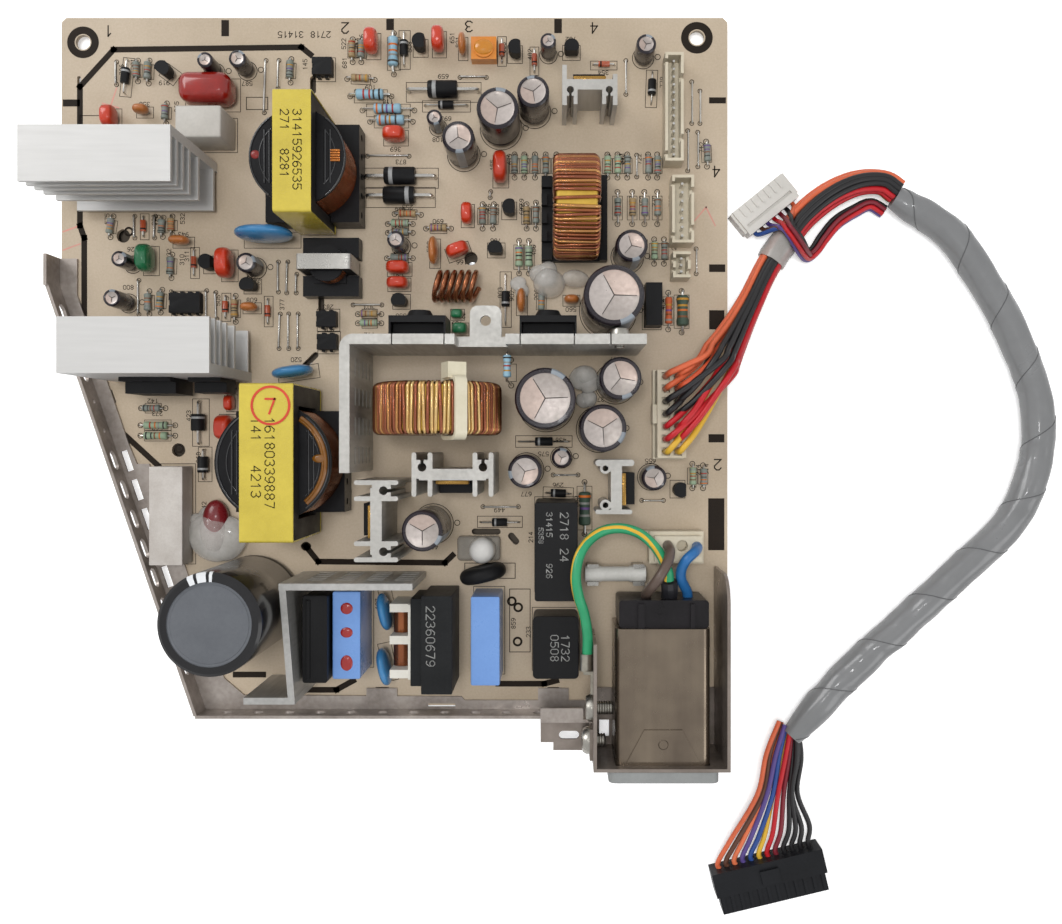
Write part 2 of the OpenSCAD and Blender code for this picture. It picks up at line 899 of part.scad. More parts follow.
module transformer_tapes() {
    color("goldenrod") {
        place(trafo_a[0], trafo_a[1])
            core_tape(10, a_l, a_z[0], a_z[1]);
        place(trafo_b[0], trafo_b[1])
            core_tape(12, b_l, b_z[0], b_z[1]);
    }
    color("silver")
        place(c_mid[0], c_mid[1], 0, 90)
            core_tape(5, 16.4, c_z[0], c_z[1]);
}

// A bobbin: tube, two flanges cut beside the core, and two rails of pins along its sides
module bobbin(leg_d, r, z0, z1, rail_x, rail_l, core_w)
    union() {
        difference() {
            union() {
                translate([0, 0, z0])
                    cylinder(r = r, h = 1.2);
                translate([0, 0, z1 - 1.2])
                    cylinder(r = r, h = 1.2);
                translate([0, 0, z0])
                    cylinder(d = leg_d + 2.2, h = z1 - z0);
            }
            translate([0, 0, z0 - 1])
                cylinder(d = leg_d + 0.2, h = z1 - z0 + 2);
        }
        for (s = [-1, 1])
            difference() {
                translate([s > 0 ? core_w / 2 + 0.4 : -rail_x, -rail_l / 2, 0])
                    cube([rail_x - core_w / 2 - 0.4, rail_l, z0 + 1.2]);
                // Room for the lead ends between the pins
                for (k = [-2 : 2])
                    translate([s * rail_x, k * rail_l / 5, z0 - 3])
                        rotate([0, s * 90, 0])
                            translate([0, 0, -2.4])
                                cylinder(d = 2.2, h = 4);
            }
    }

module transformer_bobbins() {
    color("#2b2b2b") {
        place(trafo_a[0], trafo_a[1])
            bobbin(11, a_r, a_z[0] + a_yoke + 0.1, a_z[1] - a_yoke - 0.1, 14.9, 31, 11);
        place(trafo_b[0], trafo_b[1])
            bobbin(14, b_r, b_z[0] + b_yoke + 0.1, b_z[1] - b_yoke - 0.1, 17.2, 32, 15.4);
    }
    color("#1a1a1a")
        place(c_mid[0], c_mid[1])
            difference() {
                union() {
                    for (s = [-1, 1])
                        translate([-9, s > 0 ? 2.9 : -9.4, 0])
                            cube([18, 6.5, 6]);
                    translate([0, 0, 6.1])
                        cylinder(d = 11.4, h = 0.8);
                    translate([0, 0, 12.6])
                        cylinder(d = 11.4, h = 0.8);
                    for (s = [-1, 1])
                        translate([-5, s > 0 ? 2.9 : -5.4, 0])
                            cube([10, 2.5, 6.9]);
                    translate([0, 0, 6.1])
                        cylinder(d = 6.4, h = 7.3);
                }
                translate([0, 0, -1])
                    cylinder(d = 4.8, h = 20);
            }
}

// One winding: a wound coil with a flat outer layer that stands a little proud
module winding(d0, r, z0, z1)
    rotate_extrude()
        polygon([
            [d0 / 2, z0], [r - 0.7, z0], [r, z0 + 1.2], [r, z1 - 1.2], [r - 0.7, z1], [d0 / 2, z1]
        ]);

module transformer_windings()
    color("chocolate") {
        place(trafo_a[0], trafo_a[1])
            winding(13.3, a_r - 0.2, a_z[0] + a_yoke + 1.4, a_z[1] - a_yoke - 1.4);
        place(trafo_b[0], trafo_b[1])
            winding(16.3, b_r - 0.2, b_z[0] + b_yoke + 1.4, b_z[1] - b_yoke - 1.4);
        place(c_mid[0], c_mid[1])
            winding(6.5, 5.6, 7, 12.5);
    }

// ---- Toroids ----

big_ring = [125.7, 93];
big_w = 15.8;
big_bore = 21;
big_turns = 40;
big_z = 3.2 + toroid_d / 2 + copper_d;
ring_b = [168.1, 155.5];
small_w = 14.4;
small_bore = 15.6;
small_turns = 34;
small_z = 3.2 + choke_d / 2 + copper_d;

// A wound ring has its axis along its own z, and its middle at its origin
module ring_core(d, bore, w)
    rotate_extrude()
        translate([(d + bore) / 4, 0])
            soft_rect((d - bore) / 2, w - 2 * copper_d, 0.9);

module ring_turns(d, bore, w, turns)
    for (k = [0 : turns - 1])
        rotate([0, 0, (k + 0.5) * 360 / turns])
            translate([(d + bore) / 4, copper_d / 2, 0])
                rotate([90, 0, 0])
                    linear_extrude(copper_d)
                        difference() {
                            soft_rect((d - bore) / 2 + 2 * copper_d, w, 1.8);
                            soft_rect((d - bore) / 2 + 0.1, w - 2 * copper_d + 0.1, 0.9);
                        }

module big_ring_place()
    place(big_ring[0], big_ring[1], big_z)
        rotate([90, 0, 0])
            children();

module small_ring_place()
    place(ring_b[0], ring_b[1], small_z)
        rotate([90, 0, 90])
            children();

module toroid_cores()
    color("khaki") {
        big_ring_place()
            ring_core(toroid_d, big_bore, big_w);
        small_ring_place()
            ring_core(choke_d, small_bore, small_w);
    }

module toroid_windings()
    color("peru") {
        big_ring_place()
            ring_turns(toroid_d, big_bore, big_w, big_turns);
        small_ring_place()
            ring_turns(choke_d, small_bore, small_w, small_turns);
    }

// Plastic cradles under the rings
module toroid_bases()
    color("#1c1c1c") {
        difference() {
            block(big_ring[0] - 13, big_ring[1] - 7.4, big_ring[0] + 13, big_ring[1] + 7.4, 0, 7);
            rod_y(big_ring[0], big_ring[1] - 9, big_ring[1] + 9, big_z, toroid_d + 2 * copper_d + 0.3);
        }
        difference() {
            union() {
                block(157.2, ring_b[1] - 13.7, 178.4, ring_b[1] + 13.7, 0, 2.8);
                for (k = [-2 : 2])
                    block(157.2, ring_b[1] + 5.8 * k - 1.8, 160.6, ring_b[1] + 5.8 * k + 1.8, 2.7, 5.4);
                block(176, ring_b[1] - 13.7, 178.4, ring_b[1] + 13.7, 2.7, 5.4);
                block(160.5, ring_b[1] - 10, 176.1, ring_b[1] + 10, 2.7, 6);
            }
            rod_x(159, 176.8, ring_b[1], small_z, choke_d + 2 * copper_d + 0.3);
        }
    }

// The tie goes once around the ring's top, through its bore, with its head behind
tie_x = 132;
module cable_tie()
    color("silver")
        big_ring_place()
            rotate([0, 0, 90 - asin((tie_x - big_ring[0]) / 14.6)])
                union() {
                    translate([(toroid_d + big_bore) / 4, 1.8, 0])
                        rotate([90, 0, 0])
                            linear_extrude(3.6)
                                difference() {
                                    soft_rect((toroid_d - big_bore) / 2 + 5, big_w + 3, 2.6);
                                    soft_rect((toroid_d - big_bore) / 2 + 2.6, big_w + 0.6, 1.8);
                                }
                    translate([(toroid_d + big_bore) / 4 - 3, -2.8, -big_w / 2 - 5.4])
                        cube([6, 5.6, 4.6]);
                }

coil_mid = [129.6, 133.2];
coil_pitch = 2.3;
coil_turns = 6;
coil_r = 4.6;
coil_z = 6;
coil_steps = 10;
coil_route = concat(
    [[coil_mid[0] - 9.6, coil_mid[1] - coil_r, 0], [coil_mid[0] - 9.4, coil_mid[1] - coil_r, 2.6]],
    [for (k = [0 : coil_turns * coil_steps])
        let (a = 360 * k / coil_steps)
            [
                coil_mid[0] + coil_pitch * (k / coil_steps - coil_turns / 2),
                coil_mid[1] - coil_r * cos(a), coil_z + coil_r * sin(a)
            ]],
    [[coil_mid[0] + 9.4, coil_mid[1] - coil_r, 2.6], [coil_mid[0] + 9.6, coil_mid[1] - coil_r, 0]]
);
module air_coil()
    color("chocolate")
        place()
            tube(coil_route, 1.6, 8);

// ---- Larger board parts ----

module cement_resistor()
    color("whitesmoke")
        union() {
            block(32.6, 43.9, 43.2, 75.3, steel_t, 10.2);
            block(40.6, 45, 42.6, 47.4, 0, steel_t + eps);
            block(34, 71.6, 42.6, 74, 0, steel_t + eps);
        }

// Dabs of glue: middle, radius across and height of each
glue_dabs = [
    [49, 50, 5.6, 5], [56.4, 56.5, 4.4, 4], [46.6, 58.4, 3, 3], [157.4, 137.6, 3.4, 4.4],
    [150, 133.6, 2.6, 2.6], [171, 104, 3.6, 6], [171.4, 97, 2.6, 4]
];
module hot_melt()
    color("linen")
        for (g = glue_dabs)
            place(g[0], g[1])
                rotate_extrude()
                    intersection() {
                        translate([0, g[3] - (pow(g[2], 2) + pow(g[3], 2)) / (2 * g[3])])
                            circle((pow(g[2], 2) + pow(g[3], 2)) / (2 * g[3]));
                        square([g[2] + 5, g[3] + 1]);
                    }

// Upright electrolytic capacitors: x, y, diameter, height
cans = [
    [50.6, 204.2, 5, 11], [60.9, 204.6, 5.5, 11], [63.6, 140, 6.3, 11], [22, 128.5, 5.5, 13],
    [23.4, 141.2, 5, 11], [123.3, 186, 5, 11], [143.9, 185.6, 13, 21], [154.8, 191.1, 10, 20],
    [131.7, 177, 10, 20], [159.4, 209.8, 5, 12], [190.4, 208.8, 6.3, 12], [111.2, 147.1, 5.5, 12],
    [185.2, 143.6, 10, 20], [178.9, 126, 18, 36], [158.7, 95.8, 18, 36], [181.4, 102.4, 13, 25],
    [176.1, 87.3, 14.5, 25], [152.3, 74, 10.5, 20], [163.6, 78.1, 6.3, 12], [192.9, 71.7, 8, 12],
    [121.7, 56.3, 12.5, 28]
];
sleeve_wall = 0.3;

module capacitor_cans()
    color("silver")
        for (c = cans)
            let (r = c[2] / 2 - sleeve_wall, crimp = c[2] > 9 ? 0.8 : 0.5)
                place(c[0], c[1])
                    rotate_extrude()
                        polygon([
                            [0, 0], [r, 0], [r, crimp], [r - crimp / 2, 2 * crimp], [r, 3 * crimp],
                            [r, c[3] - 0.6], [r - 0.6, c[3]], [0, c[3]]
                        ]);

module capacitor_sleeves()
    color("#23262e")
        for (c = cans)
            let (r = c[2] / 2, crimp = c[2] > 9 ? 0.8 : 0.5)
                place(c[0], c[1])
                    rotate_extrude()
                        polygon([
                            [r - sleeve_wall, 3 * crimp], [r, 3 * crimp], [r, c[3] - 0.3],
                            [r - 0.3, c[3] + 0.2], [r - 1.3, c[3] + 0.2], [r - 1.3, c[3]],
                            [r - sleeve_wall - 0.6, c[3]], [r - sleeve_wall, c[3] - 0.6]
                        ]);

// ---- Small board parts ----

module film_capacitors() {
    color("indianred")
        place(41.2, 196.6, 0)
            rotate([90, 0, 90])
                linear_extrude(16.8)
                    translate([0, 5.5])
                        soft_rect(9.6, 11, 2);
    color("ghostwhite")
        union() {
            soft_block(49.8, 183.5, 14.4, 10, 0.8, 0, 14);
            soft_block(49.8, 183.5, 12.8, 8.4, 0.8, 14 - eps, 15);
        }
}

// Dipped film capacitors: x, y, width, thickness, turn
dipped = [
    [17.3, 188.4, 7, 4.3, 90], [102.1, 212.6, 8, 4.3, 90], [123.7, 213.2, 8, 4, 90],
    [109.5, 182.6, 7.5, 4.5, 0], [143.8, 171.6, 10, 4.6, 90], [133, 157.1, 7, 3.7, 90],
    [130, 145.3, 7.5, 4.2, 20], [110.7, 139.6, 7.5, 4, 0], [110.6, 134.6, 7, 3.8, 0],
    [55.1, 140.8, 9.8, 4.8, 90], [55.9, 95.8, 5, 3, 90], [54.7, 87.9, 8, 5.5, 90],
    [129.6, 124.8, 4, 3, 0], [29.4, 142.4, 9, 4.6, 90], [130.6, 120, 5, 3.6, 0]
];
module dipped_capacitors()
    color("firebrick")
        for (c = dipped)
            place(c[0], c[1], 0, c[4])
                leaded_disc(c[2], c[3], 1, c[2] * 0.6);

// Ceramic discs: x, y, diameter, thickness, turn
discs = [
    [69.1, 149.2, 18, 4.6, 0], [77.6, 105.6, 13, 4, 8], [107, 28.8, 12, 3.8, -78],
    [106.9, 11.2, 12, 3.8, -78], [40, 148.4, 6.5, 3, 0], [27.3, 191, 5, 3, 0],
    [62.4, 126.9, 5.5, 3, 0], [122.3, 144.8, 9, 3, 90], [150.7, 128.8, 8, 3, 90],
    [131.5, 211.8, 7, 2.5, 90], [166.9, 129.4, 5, 3, 0]
];
module disc_capacitors()
    color("deepskyblue")
        for (c = discs)
            place(c[0], c[1], 0, c[4])
                leaded_disc(c[2], c[3], 1.5, c[2] * 0.5);

// A body on a wire that runs along x from its two legs, its ends a little thicker or plain
module axial(span, d, l, bone = true) {
    body_x = (span - l) / 2;
    axis_z = axial_lift + d / 2;
    waist = bone ? 0.43 * d : 0.5 * d - 0.1;
    union() {
        translate([0, 0, axis_z])
            rotate([0, 90, 0])
                rotate_extrude()
                    polygon([
                        [0, 0], [lead_d / 2, 0], [lead_d / 2, body_x], [d / 2 - 0.3, body_x],
                        [d / 2, body_x + 0.3], [d / 2, body_x + 0.24 * l],
                        [waist, body_x + 0.3 * l], [waist, body_x + 0.7 * l],
                        [d / 2, body_x + 0.76 * l], [d / 2, body_x + l - 0.3],
                        [d / 2 - 0.3, body_x + l], [lead_d / 2, body_x + l], [lead_d / 2, span],
                        [0, span]
                    ]);
        for (x = [0, span])
            translate([x, 0, 0])
                cylinder(d = leg_d, h = axis_z + leg_d / 2 + 0.1);
    }
}

axial_lift = 0.5;
lead_d = 0.6;
leg_d = 0.7;

module axial_between(a, b, d, l, bone)
    place(a[0], a[1], 0, atan2(b[1] - a[1], b[0] - a[0]))
        axial(norm(b - a), d, min(l, norm(b - a) - 1.6), bone);

// Quarter watt resistors: both ends of each
resistors = concat(
    [
        [[25, 208], [25, 201.2]], [[28.8, 208], [28.5, 200.5]], [[34.5, 194], [34.2, 187.5]],
        [[75.2, 208.5], [75, 200.8]], [[95.3, 215], [95.3, 207.5]], [[98.6, 215], [98.2, 207.5]],
        [[17, 157], [16, 150.2]], [[33.4, 156.6], [33.1, 150.3]], [[36.3, 157], [36.3, 151]],
        [[36.2, 144.5], [36, 136.8]], [[28.8, 132.5], [28.7, 125]], [[32.9, 133], [32.5, 125.5]],
        [[57, 131], [57, 122.5]], [[26, 94.2], [34, 94.2]], [[97, 125], [104.7, 125]],
        [[97, 122], [104.7, 122]], [[93.5, 202], [102.5, 201.7]], [[109, 157.8], [117.7, 157.5]],
        [[106.8, 154.5], [115, 154.5]], [[106.8, 151.6], [115, 151.6]],
        [[106.5, 143.3], [115, 143.3]], [[119.3, 153], [127.5, 153]], [[137.9, 161], [137.8, 153]],
        [[141.5, 161], [141.3, 153]], [[152.3, 161], [152.2, 153]], [[155.3, 161.5], [155.3, 153]],
        [[194, 149.5], [194, 141.5]], [[197.2, 149.5], [197.2, 141.5]], [[206.5, 76], [206.5, 68]],
        [[210, 75.5], [210, 68]], [[211, 181.5], [211.3, 173.3]], [[157.2, 133], [157, 125]]
    ],
    [for (x = [148.3, 151.5, 155, 158.5, 162, 178.7, 182, 185.2, 192, 195]) [[x, 177.3], [x, 169.7]]],
    [for (x = [182, 186.8, 190.8, 195]) [[x, 165], [x, 154.5]]]
);

// Larger resistors: both ends, diameter and length of each
power_resistors = [
    [[94.5, 196.3], [108, 196.3], 3.4, 9], [[98.5, 191.7], [115.5, 191.7], 3.2, 9],
    [[101, 188], [115, 188], 3.2, 9], [[108.8, 203.5], [108.8, 217], 3.4, 9.5],
    [[25.8, 88.6], [37.2, 88.6], 2.6, 8], [[25.8, 85.2], [37.2, 85.2], 2.6, 8],
    [[149.8, 138.3], [149.8, 149], 2.6, 7], [[153, 138.3], [153, 149], 2.6, 7],
    [[171.2, 53], [171.2, 70], 4, 11], [[203, 119], [203, 132.6], 4, 10],
    [[198.6, 120], [198.6, 132], 2.4, 9]
];

// The resistor that stands off high beside the angle heatsink
high_resistor = [[147.2, 101.6], [147.2, 110], 28];

module axial_parts()
    color("tan") {
        for (r = resistors)
            axial_between(r[0], r[1], 2.3, 6, true);
        for (r = power_resistors)
            axial_between(r[0], r[1], r[2], r[3], true);
        place(high_resistor[0][0], high_resistor[0][1], 0, 90)
            union() {
                translate([0.8, 0, high_resistor[2]])
                    rotate([0, 90, 0])
                        cylinder(d = 2.5, h = 6.8);
                translate([0, 0, high_resistor[2]])
                    rotate([0, 90, 0])
                        cylinder(d = lead_d, h = 8.4);
                for (x = [0, 8.4])
                    translate([x, 0, 0])
                        cylinder(d = leg_d, h = high_resistor[2] + leg_d);
            }
    }

// Glass and moulded diodes: both ends, diameter and length of each
diodes = [
    [[22, 208], [21, 197], 2.7, 5.2], [[27.2, 157], [27.2, 150.2], 1.9, 4],
    [[43.7, 146], [43.7, 137.5], 1.9, 4], [[54, 131], [53.9, 123.5], 1.9, 4],
    [[67.8, 130], [67.8, 121.7], 1.9, 4], [[112.3, 217], [112.3, 206], 2.7, 5.2],
    [[119, 193], [133, 193], 2.7, 5.2], [[144.2, 215], [144.2, 207], 1.9, 4],
    [[154.8, 211.6], [154.8, 204], 1.9, 4], [[174, 206.4], [181, 206.4], 1.9, 4],
    [[193.3, 204], [193, 193.5], 2.7, 5.2], [[145.4, 138], [145.4, 121.5], 2.7, 5.2],
    [[137, 57], [150, 57], 2.7, 5.2], [[158.5, 66.6], [166.7, 66.3], 2.7, 5.2],
    [[113.7, 197.6], [136.5, 197.6], 5.5, 9.5], [[100, 169.5], [122.5, 169.5], 5.6, 10],
    [[100.5, 163.2], [121.5, 163.2], 5.6, 10], [[45.6, 82.6], [45.6, 96.4], 4.5, 5.4],
    [[47, 71], [47, 80.6], 3.5, 5.2], [[149.5, 83.3], [166.3, 83.3], 2.8, 6]
];

// Small transistors: x, y, turn
small_transistors = [
    [35.4, 203.1, -35], [118, 212, 90], [148.9, 210, 90], [166.9, 210.1, 0], [49.4, 141.1, 90],
    [62.6, 133.6, 0], [111.3, 128.6, 0], [142.3, 145.4, 0], [147, 158.8, 90], [202.1, 67.7, 90]
];

module small_transistor()
    union() {
        translate([0, 0, 2.4])
            linear_extrude(4.8)
                intersection() {
                    circle(d = 4.8);
                    translate([0, 0.9])
                        square([6, 4.8], center = true);
                }
        for (k = [-1 : 1])
            translate([1.27 * k - 0.25, -0.25, 0])
                cube([0.5, 0.5, 3]);
    }

// A moulded chip on two rows of pins, along x
module chip(l, w, pins)
    union() {
        translate([-l / 2, -w / 2, 0.6])
            difference() {
                cube([l, w, 3.4]);
                translate([0, w / 2, 2.8])
                    cylinder(d = 1.6, h = 1);
            }
        for (k = [0 : pins - 1])
            for (s = [-1, 1])
                translate([(k - (pins - 1) / 2) * 2.54 - 0.6, s * (w / 2 + 0.3) - 0.3, 0])
                    cube([1.2, 0.62, 2.4]);
    }

chips = [[41.5, 128.2, 10, 6.4, 4], [86, 205, 6.4, 5.6, 2], [87.4, 123, 6.4, 5, 2], [87.6, 115.6, 6.4, 5, 2]];

module small_semiconductors()
    color("#242424") {
        for (r = diodes)
            axial_between(r[0], r[1], r[2], r[3], false);
        for (t = small_transistors)
            place(t[0], t[1], 0, t[2])
                small_transistor();
        for (c = chips)
            place(c[0], c[1])
                chip(c[2], c[3], c[4]);
        block(190.6, 120.4, 195.8, 134, 0, 9);
    }

// Wire links: both ends of each
links = [
    [[18, 207.5], [18, 200.2]], [[130.5, 202.5], [139, 202.5]], [[184.7, 208], [184.8, 197]],
    [[206.3, 201], [206.3, 187.5]], [[209, 198], [209, 187.5]], [[205, 185], [205, 172]],
    [[208.3, 184.5], [208.3, 173.3]], [[188.3, 177], [188.3, 170]], [[24, 157], [24, 150]],
    [[30.7, 157], [30.5, 150]], [[25.3, 136], [25.3, 125]], [[71, 142], [71, 132.3]],
    [[74, 142], [73.8, 132]], [[77, 138], [76.8, 132]], [[71.5, 125], [71.3, 113.8]],
    [[74.4, 125], [74.3, 113.8]], [[77.5, 125], [77.4, 113.8]], [[47.5, 132.6], [47.5, 123.5]],
    [[50.5, 132], [50.8, 123.5]], [[95.5, 128], [104.8, 128]], [[100.2, 176.7], [113.7, 176.7]],
    [[140.5, 165], [140.3, 163.2]], [[161, 72.4], [169, 72.3]], [[138, 62], [149.5, 61.9]],
    [[190, 64], [197, 64]], [[207.8, 146.3], [207.7, 138.3]], [[66.8, 208], [66.5, 191]],
    [[71.2, 208], [70.8, 199]]
];
module wire_links()
    color("silver")
        for (l = links)
            place(l[0][0], l[0][1], 0, atan2(l[1][1] - l[0][1], l[1][0] - l[0][0]))
                let (span = norm(l[1] - l[0]))
                    union() {
                        translate([0, 0, 0.6])
                            rotate([0, 90, 0])
                                cylinder(d = lead_d, h = span);
                        for (x = [0, span])
                            translate([x, 0, 0])
                                cylinder(d = leg_d, h = 0.6 + leg_d);
                    }

module trimmer()
    color("royalblue")
        difference() {
            union() {
                block(134.4, 206.8, 142.6, 214.1, 0, 4.6);
                post(138.5, 210.5, 6.6, 4.6, 5.4);
            }
            block(136, 210.1, 141, 210.9, 4.8, 6);
        }

// ---- Headers ----

header_wall = 0.9;
header_floor = 2;
// Open headers along y: corner x, y, size, height, number of pins, pin row from the left wall
headers = [
    [196.7, 172.8, 5.9, 34.6, 9, 13, 2.9], [198.9, 146.7, 7, 21.6, 9, 7, 3.4],
    [199.2, 135.6, 5.6, 8.3, 9, 3, 2.8]
];
function header_pitch(h) = (h[3] - 2 * header_wall) / (h[5] + 0.15);
pin_side = 0.7;

module open_header(h)
    place(h[0], h[1])
        difference() {
            cube([h[2], h[3], h[4]]);
            translate([header_wall, header_wall, header_floor])
                cube([h[2] - 2 * header_wall, h[3] - 2 * header_wall, h[4]]);
            // Slots that the plug's latches snap into
            for (y = [0.22 * h[3], 0.78 * h[3]])
                translate([h[2] - header_wall - 1, y - 0.9, 4.6])
                    cube([3, 1.8, h[4]]);
            for (y = [2.6, h[3] - 2.6])
                translate([-1, y - 0.6, 4.6])
                    cube([3, 1.2, h[4]]);
        }

// The board half of the harness connector, two rows of seven
harness_box = [193.2, 77.6, 203.2, 106.4];
harness_pitch = 3.96;
plug_z0 = 3.6;
plug_z1 = 12;

// The mains connector: its board half, and the plug half pushed on it
mains_box = [191.6, 44.4, 208.9, 54.6];
module mains_header()
    difference() {
        union() {
            block(mains_box[0], mains_box[1], mains_box[2], mains_box[3], 0, 9);
            block(mains_box[0] + 1.4, mains_box[1] + 1, mains_box[2] - 1, mains_box[3] - 1.2, 8, 13);
            block(mains_box[0] - 2, mains_box[3] - 3.4, mains_box[0] + 0.5, mains_box[3], 0, 7);
        }
        post(201.6, 50.4, 3.6, 8, 14);
        block(200, mains_box[1] - 1, 207.6, mains_box[1] + 1.8, 3, 7);
    }

module output_headers()
    color("ivory") {
        for (h = headers)
            open_header(h);
        block(harness_box[0], harness_box[1], harness_box[2], harness_box[3], 0, plug_z0);
        mains_header();
    }

module header_pins()
    color("silver")
        for (h = headers)
            for (k = [0 : h[5] - 1])
                place(
                    h[0] + h[6] - pin_side / 2,
                    h[1] + h[3] / 2 + (k - (h[5] - 1) / 2) * header_pitch(h) - pin_side / 2,
                    header_floor
                )
                    cube([pin_side, pin_side, h[4] - header_floor - 1.4]);

module harness_plug()
    color("ivory")
        difference() {
            union() {
                block(harness_box[0] + 0.7, harness_box[1] + 0.5, harness_box[2] - 0.2,
                    harness_box[3] - 0.5, plug_z0, plug_z1);
                // The latch that hooks under the board half's rim
                block(harness_box[0] - 0.6, 89, harness_box[0] + 0.71, 95, plug_z0, plug_z1 - 2);
            }
            for (i = [0, 1])
                for (j = [-3 : 3])
                    block(
                        harness_box[0] + 2 + 3.8 * i, 92 + harness_pitch * j - 1.3,
                        harness_box[0] + 4.6 + 3.8 * i, 92 + harness_pitch * j + 1.3,
                        plug_z1 - 2.2, plug_z1 + 1
                    );
        }

// ---- Harness: loose on the table, which lies below the board's underside ----

table = -zt;
bundle_d = 8.8;
branch_d = 4.4;
jacket_d = 10.6;
tail_d = 2.8;

harness_route = [
    [201.2, 92, 12], [201.6, 92.6, 16], [205, 97, 18], [209.6, 103, 15.6], [214, 110, 11.6],
    [219, 118, 7], [225, 128.6, 2.4], [231, 140.4, 0.3], [237.4, 150, 0.3], [243, 157.2, 0.3],
    [251, 163.6, 0.3], [260, 167.6, 0.3], [268.4, 168, 0.3], [273.4, 165, 0.3]
];
branch_route = [
    [233.2, 156.8, -1], [234.4, 154.6, 5.2], [237, 150.4, 8.2], [239.8, 147, 6.6],
    [242.6, 144.8, 2], [244.8, 144.4, -1.9], [247.4, 146.6, -1.9], [250, 150.4, -1.9],
    [254.4, 155.6, -1.9], [260, 159.2, -1.9], [265.2, 161.4, -1.9], [269.8, 159, -1.9]
];
jacket_route = [
    [272.2, 162.8, 1.2], [277.2, 159.8, 1.2], [291, 150.4, 1.2], [307, 126.4, 1.2], [316.6, 103.4, 1.2],
    [319.2, 90, 1.2], [318, 75.6, 1.2], [310.4, 57.6, 1.2], [294, 41.2, 1.2], [274.4, 23.2, 1.2],
    [254.8, 5.2, 1.2], [238.6, -12.8, 1.2]
];

module harness_wires()
    color("#181818")
        place()
            tube(harness_route, bundle_d, 12);

module harness_branch()
    color("mediumpurple")
        place()
            tube(branch_route, branch_d, 8);

module harness_sleeve()
    color("lightgray")
        place()
            tube(jacket_route, jacket_d, 12);

// The tail fans out from the sleeve's end to the twelve ways of the black connector
plug_b = [231.6, -59.2];
plug_b_turn = 13.5;
plug_b_w = 36.6;
plug_b_l = 13.5;
plug_b_h = 8.8;
fan = 6;
module harness_tail()
    color("#181818")
        place()
            for (k = [0 : fan - 1])
                let (
                    s = k - (fan - 1) / 2,
                    side = [cos(plug_b_turn), sin(plug_b_turn)],
                    out = [-sin(plug_b_turn), cos(plug_b_turn)],
                    from = [237.6 + 1.3 * s, -13.9 - 1.17 * s],
                    to = plug_b + side * s * 5.6 + out * (plug_b_l / 2),
                    z0 = table + tail_d / 2 + (k % 2) * (tail_d + 0.3),
                    z1 = table + plug_b_h / 2
                )
                    tube([
                        [from[0], from[1], z0],
                        [from[0] * 0.78 + to[0] * 0.22, from[1] * 0.76 + to[1] * 0.24 - 1, z0],
                        [from[0] * 0.45 + to[0] * 0.55, from[1] * 0.5 + to[1] * 0.5, z0],
                        [from[0] * 0.12 + to[0] * 0.88, from[1] * 0.22 + to[1] * 0.78, (z0 + z1) / 2],
                        [to[0] + out[0] * 3, to[1] + out[1] * 3, z1],
                        [to[0], to[1], z1]
                    ], tail_d, 8);

plug_w = [230.2, 160.5];
plug_w_turn = 39;
module white_connector()
    color("whitesmoke")
        place(plug_w[0], plug_w[1], table, plug_w_turn)
            difference() {
                union() {
                    translate([-10.2, -4.7, 0])
                        cube([20.4, 9.4, 6]);
                    for (s = [-1, 1])
                        translate([s > 0 ? 8.4 : -11, -3.4, 0])
                            cube([2.6, 8, 5]);
                    for (k = [-3 : 3])
                        translate([2.5 * k - 0.35, 1, 6 - eps])
                            cube([0.7, 3.4, 0.5]);
                }
                for (k = [-3 : 3])
                    translate([2.5 * k - 0.9, -6, 1.6])
                        cube([1.8, 5, 2.8]);
                translate([-9, -2.4, 5])
                    cube([18, 1, 2]);
            }

module black_connector()
    color("#1a1a1a")
        place(plug_b[0], plug_b[1], table, plug_b_turn)
            difference() {
                union() {
                    translate([-plug_b_w / 2, -1, 0])
                        cube([plug_b_w, plug_b_l / 2 + 1, plug_b_h]);
                    translate([-plug_b_w / 2 + 0.8, -plug_b_l / 2, 0.6])
                        cube([plug_b_w - 1.6, plug_b_l / 2 + 1, plug_b_h - 1.2]);
                    for (k = [-5.5 : 5.5])
                        translate([3 * k - 0.5, -plug_b_l / 2 + 0.4, plug_b_h - 0.7])
                            cube([1, plug_b_l / 2 - 0.8, 0.7]);
                    translate([-3, 0, plug_b_h - eps])
                        cube([6, 4.6, 1]);
                }
                for (k = [-5.5 : 5.5])
                    translate([3 * k - 0.8, -plug_b_l / 2 - 1, plug_b_h / 2 - 0.8])
                        cube([1.6, 5, 1.6]);
            }

circuit_board();
solder_joints();
side_rail();
inlet_bracket();
fixing_ear();
metal_screws();
inlet_can();
inlet_socket();
inlet_blades();
inlet_rear_cover();
earth_lug();
earth_wire();
mains_wires();
wire_sleeve();
fuse();
fuse_clips();
thermistor();
line_capacitors();
line_box();
line_choke_core();
line_choke_bobbin();
line_choke_winding();
relays();
main_capacitor();
perforated_shield();
angle_heatsink();
fin_heatsinks();
profile_heatsinks();
small_heatsinks();
power_devices();
device_clamps();
transformer_cores();
transformer_tapes();
transformer_bobbins();
transformer_windings();
toroid_cores();
toroid_windings();
toroid_bases();
cable_tie();
air_coil();
cement_resistor();
hot_melt();
capacitor_cans();
capacitor_sleeves();
film_capacitors();
dipped_capacitors();
disc_capacitors();
axial_parts();
wire_links();
small_semiconductors();
trimmer();
output_headers();
header_pins();
harness_plug();
harness_wires();
harness_sleeve();
harness_branch();
harness_tail();
white_connector();
black_connector();
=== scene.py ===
import math
import random

import bmesh
import bpy
from mathutils import Matrix, Vector


